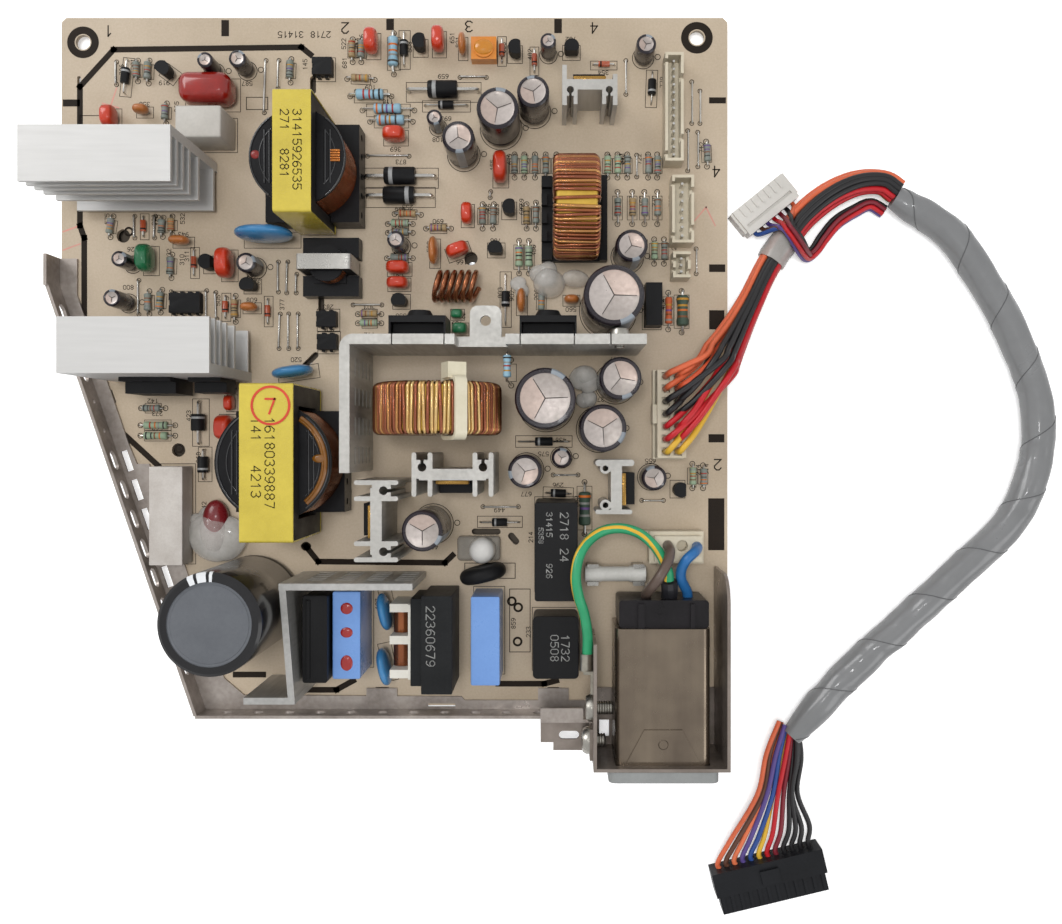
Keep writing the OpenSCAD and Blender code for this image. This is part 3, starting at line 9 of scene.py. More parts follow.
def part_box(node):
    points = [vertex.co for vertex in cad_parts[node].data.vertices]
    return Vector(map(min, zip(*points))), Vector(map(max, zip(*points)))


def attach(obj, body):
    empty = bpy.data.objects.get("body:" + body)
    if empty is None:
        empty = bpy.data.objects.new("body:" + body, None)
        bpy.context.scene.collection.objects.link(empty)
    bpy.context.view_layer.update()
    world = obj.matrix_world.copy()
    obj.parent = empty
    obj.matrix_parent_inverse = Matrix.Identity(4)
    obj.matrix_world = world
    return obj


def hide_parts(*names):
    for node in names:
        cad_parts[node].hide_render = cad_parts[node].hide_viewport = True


bl_info = {
    "name": "Open frame power supply",
    "version": (1, 0, 0),
    "blender": (4, 5, 0),
    "location": "View3D > Sidebar > Supply",
    "description": "Dresses the frame of an open frame power supply with its finishes, wires and print",
    "category": "Object",
}

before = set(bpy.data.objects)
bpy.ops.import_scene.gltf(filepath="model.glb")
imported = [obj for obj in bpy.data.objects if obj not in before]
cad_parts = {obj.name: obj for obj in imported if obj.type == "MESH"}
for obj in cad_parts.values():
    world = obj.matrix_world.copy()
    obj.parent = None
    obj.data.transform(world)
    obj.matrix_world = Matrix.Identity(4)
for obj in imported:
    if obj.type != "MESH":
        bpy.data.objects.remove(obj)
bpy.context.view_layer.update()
BODY = "root"
MM = 0.001

# The board's front left corner where its uncut edges would meet, on the board's top face
BOARD_LOW, BOARD_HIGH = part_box("circuit_board")
BOARD_ORIGIN = Vector((BOARD_LOW.x, BOARD_LOW.y + 3 * MM, BOARD_HIGH.z))


def at(x, y, z=0.0):
    """A place given in millimetres across, up and above the board, in the frame's metres."""
    return BOARD_ORIGIN + Vector((x, y, z)) * MM


def millimetres(*sizes):
    return [size * MM for size in sizes]


def tint(code):
    """The linear colour of a paint code such as b09670."""
    parts = [int(code[k:k + 2], 16) / 255 for k in (0, 2, 4)]
    return tuple(p / 12.92 if p <= 0.04045 else ((p + 0.055) / 1.055) ** 2.4 for p in parts)


# ---- Settings ----


def colour_setting(name, description, code):
    return bpy.props.FloatVectorProperty(
        name=name, description=description, default=tint(code), subtype="COLOR", size=3, min=0, max=1
    )


def length_setting(name, description, default):
    return bpy.props.FloatProperty(
        name=name, description=description, default=default * MM, unit="LENGTH", precision=5, min=0
    )


class SupplyStageSettings(bpy.types.PropertyGroup):
    camera_height: length_setting("Camera height", "Height of the camera above the board", 335)
    lens: bpy.props.FloatProperty(
        name="Lens", description="Focal length on a 36 mm wide sensor", default=34.68, unit="CAMERA"
    )
    lamp_power: bpy.props.FloatProperty(
        name="Lamp power", description="Power of the large soft lamp", default=5.7, unit="POWER"
    )
    floor_colour: colour_setting("Floor", "Colour of the floor under the supply", "f4f4f4")


class SupplyBoardSettings(bpy.types.PropertyGroup):
    laminate: colour_setting("Laminate", "Colour of the bare board", "bfaf9a")
    laminate_dark: colour_setting("Laminate, dark", "Darker patches of the board", "aa9a84")
    ink: colour_setting("Ink", "Colour of the printed plan", "1d1814")
    ink_lift: length_setting("Ink lift", "Height of the printed plan above the board", 0.03)


class SupplyMetalSettings(bpy.types.PropertyGroup):
    rail: colour_setting("Rail steel", "Colour of the rail", "b7aea7")
    bracket: colour_setting("Bracket steel", "Colour of the inlet's bracket", "9a9088")
    fins: colour_setting("Fins", "Colour of the finned heatsinks", "c9c8c6")
    plate: colour_setting("Plate", "Colour of the plate heatsinks and the shield", "bcbab5")
    tinned: colour_setting("Tinned wire", "Colour of leads and links", "cfcdc8")


class SupplyWoundSettings(bpy.types.PropertyGroup):
    copper: colour_setting("Copper", "Colour of the enamelled wire", "a25f35")
    wire: length_setting("Wire", "Diameter of the wire on the rings", 1.1)
    tape: colour_setting("Tape", "Colour of the film tape on the cores", "cdb945")


class SupplyHarnessSettings(bpy.types.PropertyGroup):
    wire: length_setting("Wire", "Diameter of a supply wire", 2.0)
    signal_wire: length_setting("Signal wire", "Diameter of a wire in the branch", 1.5)
    sleeve: length_setting("Sleeve", "Outer diameter of the sleeve", 10.6)
    sleeve_colour: colour_setting("Sleeve colour", "Colour of the sleeve", "797a7b")


SETTINGS = {
    "supply_stage": SupplyStageSettings,
    "supply_board": SupplyBoardSettings,
    "supply_metal": SupplyMetalSettings,
    "supply_wound": SupplyWoundSettings,
    "supply_harness": SupplyHarnessSettings,
}

# ---- Effects that several finishes share ----


def effect_group(name, inputs, outputs):
    """An empty node group with its sockets; inputs and outputs map a name to its kind and default."""
    group = bpy.data.node_groups.new(name, "ShaderNodeTree")
    for socket, (kind, default) in inputs.items():
        made = group.interface.new_socket(socket, in_out="INPUT", socket_type=kind)
        if default is not None:
            made.default_value = default
    for socket, kind in outputs.items():
        group.interface.new_socket(socket, in_out="OUTPUT", socket_type=kind)
    return group, group.nodes.new("NodeGroupInput"), group.nodes.new("NodeGroupOutput")


def linked(tree, kind, links=(), **values):
    """A node with its attributes or sockets set, and its inputs linked from (socket, output) pairs."""
    node = tree.nodes.new(kind)
    for key, value in values.items():
        if hasattr(node, key):
            setattr(node, key, value)
        else:
            node.inputs[key.replace("_", " ")].default_value = value
    for socket, source in links:
        tree.links.new(source, node.inputs[socket])
    return node


def maths(tree, operation, *terms):
    """The output of a math node whose terms are numbers or other outputs."""
    node = linked(tree, "ShaderNodeMath", operation=operation)
    for socket, term in zip(node.inputs, terms):
        if isinstance(term, (int, float)):
            socket.default_value = term
        else:
            tree.links.new(term, socket)
    return node.outputs[0]


def mixed_colours(group, take, out, noise, low, high):
    """Ends a group: noise between low and high becomes its mask and mixes its two colours."""
    spread = linked(group, "ShaderNodeMapRange", From_Min=low, From_Max=high, links=[
        ("Value", noise.outputs[0])])
    colour = linked(group, "ShaderNodeMix", data_type="RGBA", links=[
        (0, spread.outputs[0]), (6, out["First Colour"]), (7, out["Second Colour"])])
    group.links.new(colour.outputs[2], take.inputs["Colour"])
    group.links.new(spread.outputs[0], take.inputs["Mask"])
    return group


def mottle_group():
    """Two colours mixed by soft patches with a fine speckle on top."""
    group, give, take = effect_group(
        "mottle",
        {
            "Coordinates": ("NodeSocketVector", None),
            "First Colour": ("NodeSocketColor", (0.8, 0.8, 0.8, 1)),
            "Second Colour": ("NodeSocketColor", (0.6, 0.6, 0.6, 1)),
            "Patch Scale": ("NodeSocketFloat", 60.0),
            "Speckle Scale": ("NodeSocketFloat", 900.0),
            "Speckle": ("NodeSocketFloat", 0.3),
        },
        {"Colour": "NodeSocketColor", "Mask": "NodeSocketFloat"},
    )
    out = give.outputs
    patches = linked(group, "ShaderNodeTexNoise", Detail=3.0, Roughness=0.55, links=[
        ("Vector", out["Coordinates"]), ("Scale", out["Patch Scale"])])
    speckle = linked(group, "ShaderNodeTexNoise", Detail=2.0, Roughness=0.7, links=[
        ("Vector", out["Coordinates"]), ("Scale", out["Speckle Scale"])])
    both = linked(group, "ShaderNodeMix", data_type="FLOAT", links=[
        (0, out["Speckle"]), (2, patches.outputs[0]), (3, speckle.outputs[0])])
    return mixed_colours(group, take, out, both, 0.32, 0.68)


def grain_group():
    """Fine streaks along one axis, as on brushed, rolled or extruded metal and on wound film."""
    group, give, take = effect_group(
        "grain",
        {
            "Coordinates": ("NodeSocketVector", None),
            "First Colour": ("NodeSocketColor", (0.8, 0.8, 0.8, 1)),
            "Second Colour": ("NodeSocketColor", (0.7, 0.7, 0.7, 1)),
            "Stretch": ("NodeSocketVector", (1.0, 1.0, 1.0)),
            "Scale": ("NodeSocketFloat", 900.0),
            "Smudge": ("NodeSocketFloat", 0.4),
        },
        {"Colour": "NodeSocketColor", "Mask": "NodeSocketFloat"},
    )
    out = give.outputs
    stretched = linked(group, "ShaderNodeVectorMath", operation="MULTIPLY", links=[
        (0, out["Coordinates"]), (1, out["Stretch"])])
    streaks = linked(group, "ShaderNodeTexNoise", Detail=2.0, links=[
        ("Vector", stretched.outputs[0]), ("Scale", out["Scale"])])
    smudges = linked(group, "ShaderNodeTexNoise", Scale=70.0, Detail=3.0, links=[
        ("Vector", out["Coordinates"])])
    both = linked(group, "ShaderNodeMix", data_type="FLOAT", links=[
        (0, out["Smudge"]), (2, streaks.outputs[0]), (3, smudges.outputs[0])])
    return mixed_colours(group, take, out, both, 0.3, 0.7)


def shared_group(name):
    made = bpy.data.node_groups.get(name)
    return made or {"mottle": mottle_group, "grain": grain_group}[name]()


def finish(
    name, colour, second=None, roughness=0.5, spread=0.15, metallic=0.0, bump=0.1, depth=0.02,
    effect="mottle", coat=0.0, specular=0.5, alpha=1.0, **effect_values
):
    """A finish whose colour, roughness and relief follow one shared effect; made once by its name."""
    material = bpy.data.materials.get(name)
    if material:
        return material
    material = bpy.data.materials.new(name)
    material.use_nodes = True
    tree = material.node_tree
    shader = tree.nodes["Principled BSDF"]
    first = tint(colour) if isinstance(colour, str) else tuple(colour)
    other = tuple(c * 0.8 for c in first) if second is None else (
        tint(second) if isinstance(second, str) else tuple(second))
    where = tree.nodes.new("ShaderNodeTexCoord")
    group = tree.nodes.new("ShaderNodeGroup")
    group.node_tree = shared_group(effect)
    group.inputs["First Colour"].default_value = (*first, 1)
    group.inputs["Second Colour"].default_value = (*other, 1)
    for key, value in effect_values.items():
        group.inputs[key.replace("_", " ")].default_value = value
    tree.links.new(where.outputs["Object"], group.inputs["Coordinates"])
    tree.links.new(group.outputs["Colour"], shader.inputs["Base Color"])
    rough = linked(tree, "ShaderNodeMapRange", To_Min=roughness - spread / 2, To_Max=roughness + spread / 2,
                   links=[("Value", group.outputs["Mask"])])
    tree.links.new(rough.outputs[0], shader.inputs["Roughness"])
    relief = linked(tree, "ShaderNodeBump", Strength=bump, Distance=depth * MM, links=[
        ("Height", group.outputs["Mask"])])
    tree.links.new(relief.outputs[0], shader.inputs["Normal"])
    for socket, value in (
        ("Metallic", metallic), ("Coat Weight", coat), ("Specular IOR Level", specular), ("Alpha", alpha)
    ):
        shader.inputs[socket].default_value = value
    return material


def black_plastic(name, colour, second, **values):
    """A dark moulding or ferrite, which shines less than other finishes."""
    return finish(name, colour, second, specular=0.16, **values)


# ---- Building pieces ----


def piece(name, bm, materials, replaces=(), sharp=35.0):
    """Makes an object of a bmesh, with its finishes, on the supply's body."""
    mesh = bpy.data.meshes.new(name)
    bm.to_mesh(mesh)
    bm.free()
    for material in materials:
        mesh.materials.append(material)
    mesh.shade_smooth()
    mesh.set_sharp_from_angle(angle=math.radians(sharp))
    made = bpy.data.objects.new(name, mesh)
    bpy.context.scene.collection.objects.link(made)
    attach(made, BODY)
    if replaces:
        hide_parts(*replaces)
    return made


def dress(node, *materials):
    """Gives a CAD node its finish."""
    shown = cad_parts[node]
    shown.data.materials.clear()
    for material in materials:
        shown.data.materials.append(material)
    return shown


def node_bmesh(node):
    """A welded copy of a CAD node's mesh, with its flat faces whole."""
    bm = bmesh.new()
    bm.from_mesh(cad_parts[node].data)
    bmesh.ops.remove_doubles(bm, verts=bm.verts, dist=0.002 * MM)
    bmesh.ops.dissolve_limit(
        bm, angle_limit=math.radians(1), verts=bm.verts, edges=bm.edges, use_dissolve_boundaries=False
    )
    return bm


def softened(node, width, *materials, angle=40.0, segments=2, chooser=None, without=None):
    """A node's own form with its edges rounded a little, which stands for the node."""
    bm = node_bmesh(node)
    if without:
        for corners in solids(bm):
            if without(Lump([vert.co.copy() for vert in corners])):
                bmesh.ops.delete(bm, geom=corners, context="VERTS")
    edges = [
        e for e in bm.edges
        if len(e.link_faces) == 2 and e.calc_face_angle(0) > math.radians(angle)
    ]
    bmesh.ops.bevel(
        bm, geom=edges, offset=width * MM, segments=segments, profile=0.6, affect="EDGES",
        clamp_overlap=True
    )
    if chooser:
        for face in bm.faces:
            face.material_index = chooser(face)
    return piece(node + "_shape", bm, materials, replaces=[node], sharp=25)


def solids(bm):
    """The connected solids of a mesh, each a list of its corners."""
    seen = set()
    found = []
    for start in bm.verts:
        if start in seen:
            continue
        seen.add(start)
        todo, corners = [start], []
        while todo:
            vert = todo.pop()
            corners.append(vert)
            for edge in vert.link_edges:
                other = edge.other_vert(vert)
                if other not in seen:
                    seen.add(other)
                    todo.append(other)
        found.append(corners)
    return found


def lumps_of(node):
    """The measures of a node's separate solids, in order of their places."""
    bm = bmesh.new()
    bm.from_mesh(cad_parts[node].data)
    bmesh.ops.remove_doubles(bm, verts=bm.verts, dist=0.002 * MM)
    found = [Lump([vert.co.copy() for vert in corners]) for corners in solids(bm)]
    bm.free()
    return sorted(found, key=lambda lump: (round(lump.middle.x, 4), round(lump.middle.y, 4)))


def span(corners):
    """Lowest and highest corner of a list of points."""
    low = Vector([min(c[k] for c in corners) for k in range(3)])
    high = Vector([max(c[k] for c in corners) for k in range(3)])
    return low, high


def full_turn(count):
    """The angles of a circle's even steps."""
    return [2 * math.pi * k / count for k in range(count)]


def around(left, up, turn):
    """The direction at a turn from left towards up."""
    return left * math.cos(turn) + up * math.sin(turn)


def skin(bm, rings, indices=0, looped=False, caps=True):
    """Faces between rings of corners, then caps at both ends; indices is one finish or one a step."""
    following = rings[1:] + (rings[:1] if looped else [])
    for step, (low, high) in enumerate(zip(rings, following)):
        index = indices[step] if isinstance(indices, list) else indices
        count = max(len(low), len(high))
        for k in range(count):
            m = (k + 1) % count
            corners = list(dict.fromkeys([
                low[k % len(low)], low[m % len(low)], high[m % len(high)], high[k % len(high)]]))
            if len(corners) > 2:
                bm.faces.new(corners).material_index = index
    if caps and not looped:
        for ring in (rings[0][::-1], rings[-1]):
            bm.faces.new(ring).material_index = indices


def rounded_rectangle(low, high, corner):
    """The corners of a rectangle whose own corners are rounded, from its upper right on."""
    made = []
    for x, y, start in (
        (high[0] - corner, high[1] - corner, 0), (low[0] + corner, high[1] - corner, 90),
        (low[0] + corner, low[1] + corner, 180), (high[0] - corner, low[1] + corner, 270)
    ):
        for n in range(5):
            turn = math.radians(start + 22.5 * n)
            made.append((x + corner * math.cos(turn), y + corner * math.sin(turn)))
    return made


def revolve(bm, profile, place, segments=32):
    """A turned form: profile holds (radius, height, finish index) from bottom to top, closed at its ends."""
    rings = []
    turns = full_turn(segments)
    for radius, height, _ in profile:
        if radius < 1e-7:
            rings.append([bm.verts.new(place @ Vector((0, 0, height)))])
        else:
            rings.append([
                bm.verts.new(place @ Vector((radius * math.cos(turn), radius * math.sin(turn), height)))
                for turn in turns
            ])
    skin(bm, rings, [index for _, _, index in profile[1:]], caps=False)
    for ring, (_, _, index) in ((rings[0][::-1], profile[0]), (rings[-1], profile[-1])):
        if len(ring) > 1:
            bm.faces.new(ring).material_index = index


def frames_along(points):
    """For each point two axes across the path, carried along without a twist."""
    count = len(points)
    made = []
    side = None
    for k in range(count):
        ahead = (points[min(k + 1, count - 1)] - points[max(k - 1, 0)]).normalized()
        if side is None:
            side = ahead.cross(Vector((1, 0, 0)) if abs(ahead.z) > 0.9 else Vector((0, 0, 1)))
        side = (side - ahead * side.dot(ahead)).normalized()
        made.append((side, ahead.cross(side)))
    return made


def sweep(bm, points, radius, sides=8, index=0):
    """A round bar along points, closed at both ends."""
    skin(bm, [
        [bm.verts.new(point + radius * around(side, up, turn)) for turn in full_turn(sides)]
        for point, (side, up) in zip(points, frames_along(points))
    ], index)


ROUTE_STEPS = 6


def smooth_route(points, steps=ROUTE_STEPS):
    """Points of a smooth curve through the given ones."""
    ends = [points[0] * 2 - points[1], *points, points[-1] * 2 - points[-2]]
    made = []
    for k in range(1, len(ends) - 2):
        a, b, c, d = ends[k - 1:k + 3]
        for n in range(steps):
            t = n / steps
            made.append(0.5 * (
                2 * b + (c - a) * t + (2 * a - 5 * b + 4 * c - d) * t * t
                + (3 * b - a - 3 * c + d) * t ** 3))
    made.append(points[-1].copy())
    return made


def bent_lead(start, finish, height, bend=0.9 * MM, steps=3):
    """The path of a lead from one hole up, across at a height and down to the other."""
    across = (finish - start).normalized()
    up = Vector((0, 0, 1))
    points = [start - up * 0.1 * MM]
    for corner, before, after in (
        (start + up * height, -up, across), (finish + up * height, -across, -up)
    ):
        for n in range(steps + 1):
            t = n / steps
            points.append(
                corner + before * bend * (1 - t) ** 2 + after * bend * t ** 2)
    points.append(finish - up * 0.1 * MM)
    return points


def curve_piece(name, points, diameter, material, resolution=3):
    """A wire: one open spline with a round bevel."""
    data = bpy.data.curves.new(name, "CURVE")
    data.dimensions = "3D"
    data.bevel_depth = diameter / 2
    data.bevel_resolution = resolution
    data.use_fill_caps = True
    spline = data.splines.new("POLY")
    spline.points.add(len(points) - 1)
    for point, place in zip(spline.points, points):
        point.co = (*place, 1)
    data.materials.append(material)
    made = bpy.data.objects.new(name, data)
    bpy.context.scene.collection.objects.link(made)
    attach(made, BODY)
    return made


def route_length(points):
    return sum((b - a).length for a, b in zip(points, points[1:]))


class Wire:
    """One wire of a bundle: its paint and its place across the bundle, given in millimetres."""

    def __init__(self, paint, left, up):
        self.paint, self.left, self.up = paint, left * MM, up * MM


def level_sides(points):
    """For each point the level direction to its left, and the direction up across the route."""
    made = []
    count = len(points)
    for k in range(count):
        ahead = points[min(k + 1, count - 1)] - points[max(k - 1, 0)]
        left = Vector((-ahead.y, ahead.x, 0))
        if left.length < 1e-6:
            left = made[-1][0] if made else Vector((0, 1, 0))
        left = left.normalized()
        up = ahead.cross(left).normalized()
        made.append((left, up if up.z >= 0 else -up))
    return made


def wire_set(name, wires, radius, replaces=()):
    """One piece of several wires, each given by its paint and its path."""
    bm = bmesh.new()
    finishes = []
    for paint, path in wires:
        material = wire_finish(paint)
        if material not in finishes:
            finishes.append(material)
        sweep(bm, path, radius, index=finishes.index(material))
    return piece(name, bm, finishes, replaces=replaces, sharp=60)


def bundle(name, route, wires, radius, slot, seed, swell=None, sway=0.0):
    """Wires side by side along a route; swell(t) widens the bundle, and sway wanders each wire."""
    rng = random.Random(seed)
    across = level_sides(route)
    count = len(route)
    paths = []
    for wire in wires:
        phase, pace = rng.uniform(0, 6.28), rng.uniform(2.0, 4.5)
        path = []
        for k, point in enumerate(route):
            t = k / (count - 1)
            wide = swell(t) if swell else 1.0
            drift = sway * MM * math.sin(phase + pace * 3.1 * t) * min(1, 8 * t, 8 * (1 - t))
            left, up = across[k]
            path.append(point + left * (wire.left * wide + drift) + up * (wire.up * wide + drift * 0.4))
        paths.append((wire.paint, path))
    return wire_set(name, paths, radius, replaces=[slot])


WIRE_PAINTS = {
    "orange": "dc6a45",
    "deep_orange": "cf5634",
    "black": "1b1a1c",
    "red": "c01f28",
    "dark_red": "7c2430",
    "yellow": "e0b23a",
    "brown": "5b3a2c",
    "violet": "5b4a8c",
    "blue": "2f4f93",
    "pink": "e2774f",
    "green": "2f9d6b",
    "mains_brown": "5f5048",
    "mains_blue": "2a6aa6",
}


def wire_finish(paint):
    """Soft glossy PVC in one of the wires' colours."""
    return finish(
        "pvc_" + paint, WIRE_PAINTS[paint], roughness=0.38, spread=0.14, bump=0.12, depth=0.03,
        Patch_Scale=220.0, Speckle_Scale=2600.0, Speckle=0.35)


# ---- The routes that the wires follow, in millimetres from the board's corner ----

HARNESS_ROUTE = [
    (201.2, 92, 12), (201.6, 92.6, 16), (205, 97, 18), (209.6, 103, 15.6), (214, 110, 11.6),
    (219, 118, 7), (225, 128.6, 2.4), (231, 140.4, 0.3), (237.4, 150, 0.3), (243, 157.2, 0.3),
    (251, 163.6, 0.3), (260, 167.6, 0.3), (268.4, 168, 0.3), (273.4, 165, 0.3),
]
BRANCH_ROUTE = [
    (233.2, 156.8, -1), (234.4, 154.6, 5.2), (237, 150.4, 8.2), (239.8, 147, 6.6),
    (242.6, 144.8, 2), (244.8, 144.4, -1.9), (247.4, 146.6, -1.9), (250, 150.4, -1.9),
    (254.4, 155.6, -1.9), (260, 159.2, -1.9), (265.2, 161.4, -1.9), (269.8, 159, -1.9),
]
SLEEVE_ROUTE = [
    (272.2, 162.8, 1.2), (277.2, 159.8, 1.2), (291, 150.4, 1.2), (307, 126.4, 1.2),
    (316.6, 103.4, 1.2), (319.2, 90, 1.2), (318, 75.6, 1.2), (310.4, 57.6, 1.2),
    (294, 41.2, 1.2), (274.4, 23.2, 1.2), (254.8, 5.2, 1.2), (238.6, -12.8, 1.2),
]
EARTH_ROUTE = [
    (171.5, 18, 20.5), (171.5, 24, 22), (170.4, 31, 25.5), (168.6, 37, 28), (167.8, 43, 28.4),
    (169, 49, 27), (172.2, 53.4, 24.5), (176.6, 56, 22.5), (182, 56.6, 21.5), (187.4, 55, 20.6),
    (191.6, 51.6, 20.2), (194.6, 47.4, 19.8), (196.4, 43, 19.4), (196.8, 40.4, 18.6),
]
BROWN_ROUTE = [
    (197, 50.6, 13), (196.9, 50.4, 17), (196.8, 49.4, 21.6), (195.6, 46.4, 25), (193, 42.2, 26.6),
    (191.2, 39.4, 24.8), (190.2, 37.4, 21), (190, 36, 17.4), (190, 34.5, 14.4),
]
BLUE_ROUTE = [
    (206.2, 50.2, 13), (205.9, 50, 16.5), (204.4, 49, 20), (202, 47, 21), (200.6, 44, 19.6),
    (200.6, 41, 18), (201.6, 38.6, 16.4), (202.8, 36.4, 15), (203.2, 34.5, 14),
]
MAINS_WIRE = 3.2
# Points of the two routes at which their bundles start; the wires fan out before them
BUNDLE_STARTS = 4
BRANCH_STARTS = 2
# The film tie's stretch of the harness route, and the corners round the film and round the sleeve
TIE_STRETCH = slice(43, 49)
TIE_SIDES = 28
SLEEVE_SIDES = 40
# Distance between two edges of the sleeve's wound tape
TAPE_PITCH = 22
HEADER_PITCH = 3.96
BLACK_PLUG = (231.6, -59.2)
BLACK_PLUG_TURN = 13.5
BLACK_PLUG_PITCH = 2.75
WHITE_PLUG = (230.2, 160.5)
WHITE_PLUG_TURN = 39.0
WHITE_PLUG_PITCH = 2.5


def route(points, steps=ROUTE_STEPS):
    return smooth_route([at(*p) for p in points], steps)


def ring_wires(rows, reach):
    """Places for wires in a bundle, from rows of (finish, left, up) in parts of its reach."""
    return [Wire(paint, left * reach, up * reach) for paint, left, up in rows]


HARNESS_WIRES = ring_wires([
    ("orange", 0.98, 0.12), ("orange", 0.78, 0.60), ("deep_orange", 0.40, 0.36), ("orange", 0.84, -0.46),
    ("black", 0.33, 0.93), ("black", -0.02, 0.98), ("black", -0.40, 0.88), ("black", 0.42, -0.84),
    ("red", -0.16, 0.38), ("red", -0.30, -0.28), ("red", -0.78, 0.58), ("red", -0.98, 0.05),
    ("yellow", -0.84, -0.52), ("yellow", -0.36, -0.92),
], 3.4)
# Each wire's row of cells in the plug, counted from the middle one
HARNESS_ROWS = [3, 3, 2, 2, 1, 1, 0, 0, -1, -1, -2, -2, -3, -3]


class SUPPLY_OT_harness(bpy.types.Operator):
    """Builds the output harness: its fan of wires, bundle, ties, branch, sleeve and tail"""
    bl_idname = "supply.harness"
    bl_label = "Harness"

    def execute(self, context):
        settings = context.scene.supply_harness
        radius = settings.wire / 2
        whole = route(HARNESS_ROUTE)
        after = whole[BUNDLE_STARTS * ROUTE_STEPS:]

        def spread(t):
            return 1.0 + 0.75 * max(0.0, 1 - t / 0.3) ** 2

        wires = bundle(
            "harness_bundle", after, HARNESS_WIRES, radius, "harness_wires", 3, swell=spread, sway=0.25)
        fan = self.fan(after, radius)
        ties = self.ties(whole)
        self.branch(settings)
        self.sleeve(settings)
        self.tail(settings)
        return {"FINISHED"}

    def fan(self, after, radius):
        """The wires from the plug's cells to where the bundle starts."""
        left, up = level_sides(after)[0]
        ahead = (after[1] - after[0]).normalized()
        paths = []
        for k, (wire, row) in enumerate(zip(HARNESS_WIRES, HARNESS_ROWS)):
            x = 196.5 if k % 2 else 200.3
            y = 92 + HEADER_PITCH * row
            end = after[0] + left * wire.left * 1.75 + up * wire.up * 1.75
            lift = 2.6 + 1.2 * (k % 3)
            start = at(x, y, 11.2)
            points = [
                start, at(x, y, 13.4), at(x + 0.7, y + 0.7, 14.6 + lift),
                at(x + 3.4, y + 3.0, 15.4 + lift) * 0.7 + (end - ahead * 10 * MM) * 0.3,
                end - ahead * 5 * MM + Vector((0, 0, 1.2 * MM)), end,
            ]
            paths.append((wire.paint, smooth_route(points)))
        return wire_set("harness_fan", paths, radius)

    def ties(self, whole):
        """A turn of clear film that holds the bundle together where the branch joins it."""
        bm = bmesh.new()
        points = whole[TIE_STRETCH]
        rings = []
        for k, (point, (left, up)) in enumerate(zip(points, level_sides(points))):
            rings.append([])
            for turn in full_turn(TIE_SIDES):
                size = 4.75 + 0.12 * math.sin(5 * turn + 1.3 * k) + 0.08 * (k % 2)
                spot = point + around(left, up, turn) * size * MM
                spot.z = max(spot.z, 0.0)
                rings[-1].append(bm.verts.new(spot))
        skin(bm, rings)
        film = finish("clear_film", "b9b5b0", "a39f9a", roughness=0.25, spread=0.2, bump=0.4, depth=0.1,
                      coat=0.3, alpha=0.72, Patch_Scale=160.0)
        return piece("harness_ties", bm, [film], sharp=50)

    def branch(self, settings):
        """Seven thin wires from the white connector over the bundle and into the sleeve."""
        whole = route(BRANCH_ROUTE)
        radius = settings.signal_wire / 2
        paints = ["orange", "black", "dark_red", "red", "violet", "brown", "blue"]
        turns = [math.radians(60 * k + 20) for k in range(6)]
        places = [(0, 0)] + [(math.cos(turn), math.sin(turn)) for turn in turns]
        rows = [Wire(paint, 1.5 * a, 1.5 * b) for paint, (a, b) in zip(paints, places)]
        after = whole[BRANCH_STARTS * ROUTE_STEPS:]
        wires = bundle(
            "branch_bundle", after, rows, radius, "harness_branch", 8, sway=0.15)
        left, up = level_sides(after)[0]
        ahead = (after[1] - after[0]).normalized()
        turn = math.radians(WHITE_PLUG_TURN)
        along = Vector((math.cos(turn), math.sin(turn), 0))
        out = Vector((math.sin(turn), -math.cos(turn), 0))
        paths = []
        for k, wire in enumerate(rows):
            start = at(*WHITE_PLUG, -1.1) + along * (3 - k) * WHITE_PLUG_PITCH * MM + out * 3.6 * MM
            end = after[0] + left * wire.left + up * wire.up
            points = [
                start, start + out * 2.4 * MM + Vector((0, 0, 0.7 * MM)),
                start * 0.45 + end * 0.55 + Vector((0, 0, (1.5 + 0.5 * (k % 2)) * MM)),
                end - ahead * 1.5 * MM, end]
            paths.append((wire.paint, smooth_route(points)))
        fan = wire_set("branch_fan", paths, radius)

    def sleeve(self, settings):
        """The grey sleeve: a tape wound in a steep spiral, creased where the harness bends."""
        rng = random.Random(5)
        path = route(SLEEVE_ROUTE, 16)
        across = level_sides(path)
        bm = bmesh.new()
        rings = []
        reach = settings.sleeve / 2
        marks = []
        walked = 0.0
        creases = [
            (rng.uniform(0.02, 0.95), rng.uniform(0, 6.28), rng.uniform(0.25, 0.7)) for _ in range(44)]
        total = route_length(path)
        for k, point in enumerate(path):
            walked += (point - path[k - 1]).length if k else 0
            left, up = across[k]
            t = walked / total
            taper = 1.0 - 0.30 * max(0.0, 1 - t / 0.05) ** 2 - 0.36 * max(0.0, (t - 0.93) / 0.07) ** 1.5
            ring = []
            for turn in full_turn(SLEEVE_SIDES):
                lap = (walked / (TAPE_PITCH * MM) - turn / (2 * math.pi)) % 1.0
                size = 0.972 + (0.028 if lap < 0.12 else 0.0)
                for where, way, deep in creases:
                    far = abs(t - where) * total / (7 * MM)
                    side_off = math.cos(turn - way)
                    if far < 2 and side_off > 0:
                        size -= 0.13 * deep * math.exp(-far * far * 4) * side_off ** 2
                size += 0.012 * math.sin(turn * 3 + 14 * t) + 0.010 * math.sin(turn * 7 - 60 * t)
                ring.append(bm.verts.new(point + around(left, up, turn) * reach * size * taper))
            rings.append(ring)
            marks.append(walked)
        skin(bm, rings)
